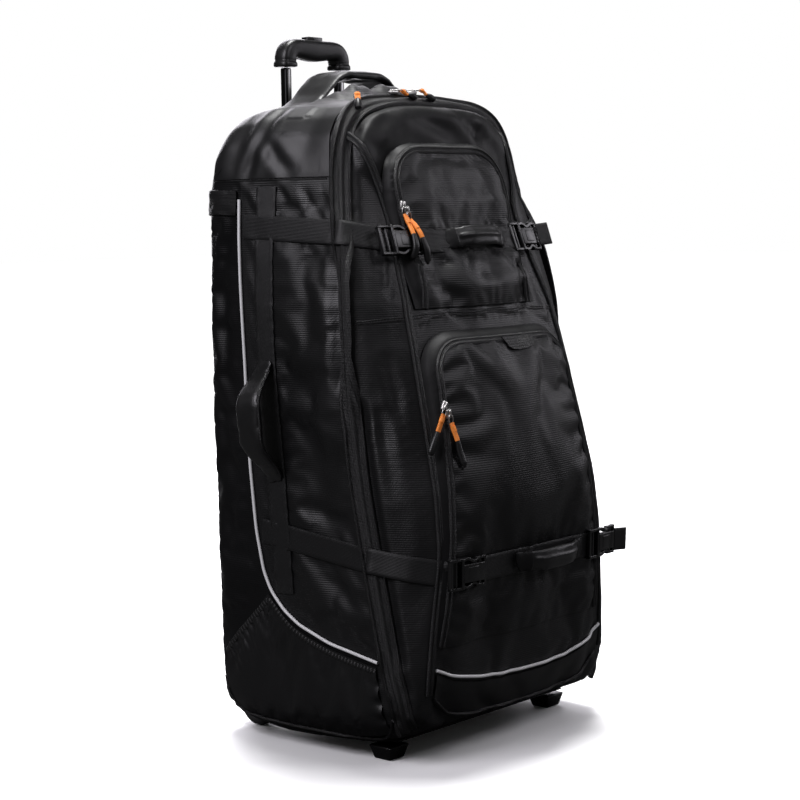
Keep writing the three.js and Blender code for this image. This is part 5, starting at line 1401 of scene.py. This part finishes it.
grip_paint = mottled_paint(
    "grip_moulded", 26.0, (0.0026, 0.0026, 0.0028), (0.0064, 0.0064, 0.0068), (0.30, 0.42), 1100.0, 0.0004, 0.5)
fit(grip, grip_paint, "plastic", "trolley_grip", body="trolley_handle")
button = copy_node("trolley_button", "trolley_button_moulded")
apply(button, "BEVEL", width=0.002, segments=3, limit_method="ANGLE")
soften(button, 40)
fit(button, plastic, "plastic", "trolley_button", body="trolley_button")

# Trolley legs
# Two dark anodised aluminium legs, which slide in tubes behind the back, with a painted highlight: a stripe of
# white metal colour down the middle of each.
# Each is the CAD solid with rounded edges, and the slot where it enters the cloth is bound.
LEG_APART, SLOT_RADIUS = 0.062, 0.0125
# Half width of the painted highlight stripe, and where it has faded out, in metres
HIGHLIGHT_STRIPE_HALF, HIGHLIGHT_STRIPE_FADE = 0.0022, 0.0030
anodised, tree, shader = new_paint("leg_anodised_painted_highlight")
place, x_axis, y_axis, z_axis = object_axes(tree)
stretch = tree.nodes.new("ShaderNodeMapping")
stretch.inputs["Scale"].default_value = (1, 1, 0.02)
tree.links.new(place, stretch.inputs["Vector"])
brushed = use_group(tree, mottle, Vector=stretch.outputs["Vector"], Scale=900.0)
# Painted highlight: the colour turns to white metal in a narrow band down the middle of each leg, standing in
# for the bright reflection along the tube.
from_left = sum_node(tree, "ABSOLUTE", sum_node(tree, "ADD", x_axis, LEG_APART - MIDDLE))
from_right = sum_node(tree, "ABSOLUTE", sum_node(tree, "SUBTRACT", x_axis, LEG_APART + MIDDLE))
painted_highlight_stripe = map_range(tree, sum_node(tree, "MINIMUM", from_left, from_right), 1, 0, HIGHLIGHT_STRIPE_HALF, HIGHLIGHT_STRIPE_FADE)
tint(tree, shader, sum_node(tree, "MULTIPLY", painted_highlight_stripe, brushed), (0.010, 0.010, 0.011), (1.0, 1.0, 1.0))
roughen(tree, shader, brushed, 0.22, 0.38)
shader.inputs["Metallic"].default_value = 0.85
for side, sign in SIDES:
    leg = copy_node("trolley_leg_" + side, "trolley_leg_%s_tube" % side)
    apply(leg, "BEVEL", width=0.0032, segments=4, limit_method="ANGLE", angle_limit=math.radians(60))
    soften(leg, 40)
    fit(leg, anodised, "leg", "trolley_leg_" + side, body="trolley_handle")
    run = []
    for a in np.linspace(0, 2 * math.pi, 41):
        over = Vector((
            MIDDLE + sign * LEG_APART + SLOT_RADIUS * math.cos(a), LEG_DEPTH + SLOT_RADIUS * math.sin(a), 1.02))
        hit, normal, index, far = skin_tree.ray_cast(over, Vector((0, 0, -1)))
        run.append(hit if hit is not None else run[-1])
    slot_outs = outs_along(run, skin_tree, 6)
    binding = sweep("leg_slot_%s_binding" % side, run, slot_outs, section_of(ring_of(2.2, 10)))
    fit(binding, zip_tape, "zip")
    sleeve = nodes["trolley_sleeve_" + side]
    sleeve.data.materials.clear()
    sleeve.data.materials.append(anodised)

# Base
# A moulded tray screwed under the bag, two front feet, and at the back the housings of the wheels.
# Each is the CAD solid with its flat faces made whole and its edges rounded: node, radius in metres
BASE_PARTS = [
    ("base_tray", 0.004), ("foot_left", 0.0025), ("foot_right", 0.0025),
    ("wheel_housing_left", 0.0015), ("wheel_housing_right", 0.0015),
]
for node, round_by in BASE_PARTS:
    moulded = copy_node(node, node + "_moulded")
    edit_all(moulded, (bpy.ops.mesh.dissolve_limited, {"angle_limit": math.radians(2)}))
    apply(moulded, "BEVEL", width=round_by, segments=3, limit_method="ANGLE", angle_limit=math.radians(35))
    soften(moulded, 40)
    fit(moulded, plastic, "plastic", node)

# Wheels
# A grooved rubber tyre on a moulded hub with five spokes, turning on a stub of its housing.
# The tyre's section is turned about the axle, and spokes, hub and rim are joined to it.
WHEEL_X = {"left": -0.158, "right": 0.198}
WHEEL_Y, WHEEL_Z = 0.2, 0.0375
TYRE_SIDES, SPOKES = 48, 5
# Hub and rim: radius, half width in mm
HUB, RIM = (9, 12), (25, 10)
# Half the tyre's section: across the tread and radius in mm
HALF_TYRE = [
    (-11, 24), (-13, 27), (-13.2, 32), (-11.5, 35.6), (-8, 37),
    (-6.4, 37.2), (-5.6, 35.4), (-4.4, 35.4), (-3.6, 37.3),
]
TYRE = HALF_TYRE + [(0, 37.4)] + [(-x, radius) for x, radius in reversed(HALF_TYRE)]
tyre_paint = mottled_paint(
    "tyre_rubber", 60.0, (0.010, 0.010, 0.011), (0.028, 0.027, 0.026), (0.55, 0.75), 700.0, 0.0004, 0.5)
for side, middle_x in WHEEL_X.items():
    bpy.ops.mesh.primitive_grid_add(x_subdivisions=TYRE_SIDES, y_subdivisions=len(TYRE) - 1, size=1)
    tyre = bpy.context.object
    spots = []
    for x, radius in TYRE:
        for i in range(TYRE_SIDES + 1):
            a = 2 * math.pi * i / TYRE_SIDES
            spots.append((x / 1000, radius / 1000 * math.cos(a), radius / 1000 * math.sin(a)))
    put_points(tyre, spots)
    tyre.data.materials.append(tyre_paint)
    bits = [tyre]
    for turn in range(SPOKES):
        spoke = bar(0, 16, 7, 20, -9, 18, 1.5)
        spoke.data.transform(Matrix.Rotation(math.pi / 2, 4, "Y"))
        spoke.data.transform(Matrix.Rotation(2 * math.pi * turn / SPOKES, 4, "X"))
        bits.append(spoke)
    for radius, half in (HUB, RIM):
        bpy.ops.mesh.primitive_cylinder_add(
            vertices=40, radius=radius / 1000, depth=2 * half / 1000, rotation=(0, math.pi / 2, 0))
        drum = bpy.context.object
        activate(drum)
        bpy.ops.object.transform_apply(location=True, rotation=True, scale=True)
        if (radius, half) == RIM:
            keep_faces(drum, lambda face: abs(face.normal.x) < 0.5)
            apply(drum, "SOLIDIFY", thickness=0.004, offset=-1)
        apply(drum, "BEVEL", width=0.0012, segments=2, limit_method="ANGLE", angle_limit=math.radians(50))
        bits.append(drum)
    for bit in bits[1:]:
        bit.data.materials.append(plastic)
    wheel = join(bits, "wheel_%s_tyre" % side)
    edit_all(wheel, (bpy.ops.mesh.remove_doubles, {"threshold": 0.00001}), FACES_OUT)
    wheel.data.transform(Matrix.Translation(Vector((middle_x, WHEEL_Y, WHEEL_Z))))
    soften(wheel, 40)
    fit(wheel, None, "tyre", "wheel_" + side, body="wheel_" + side)
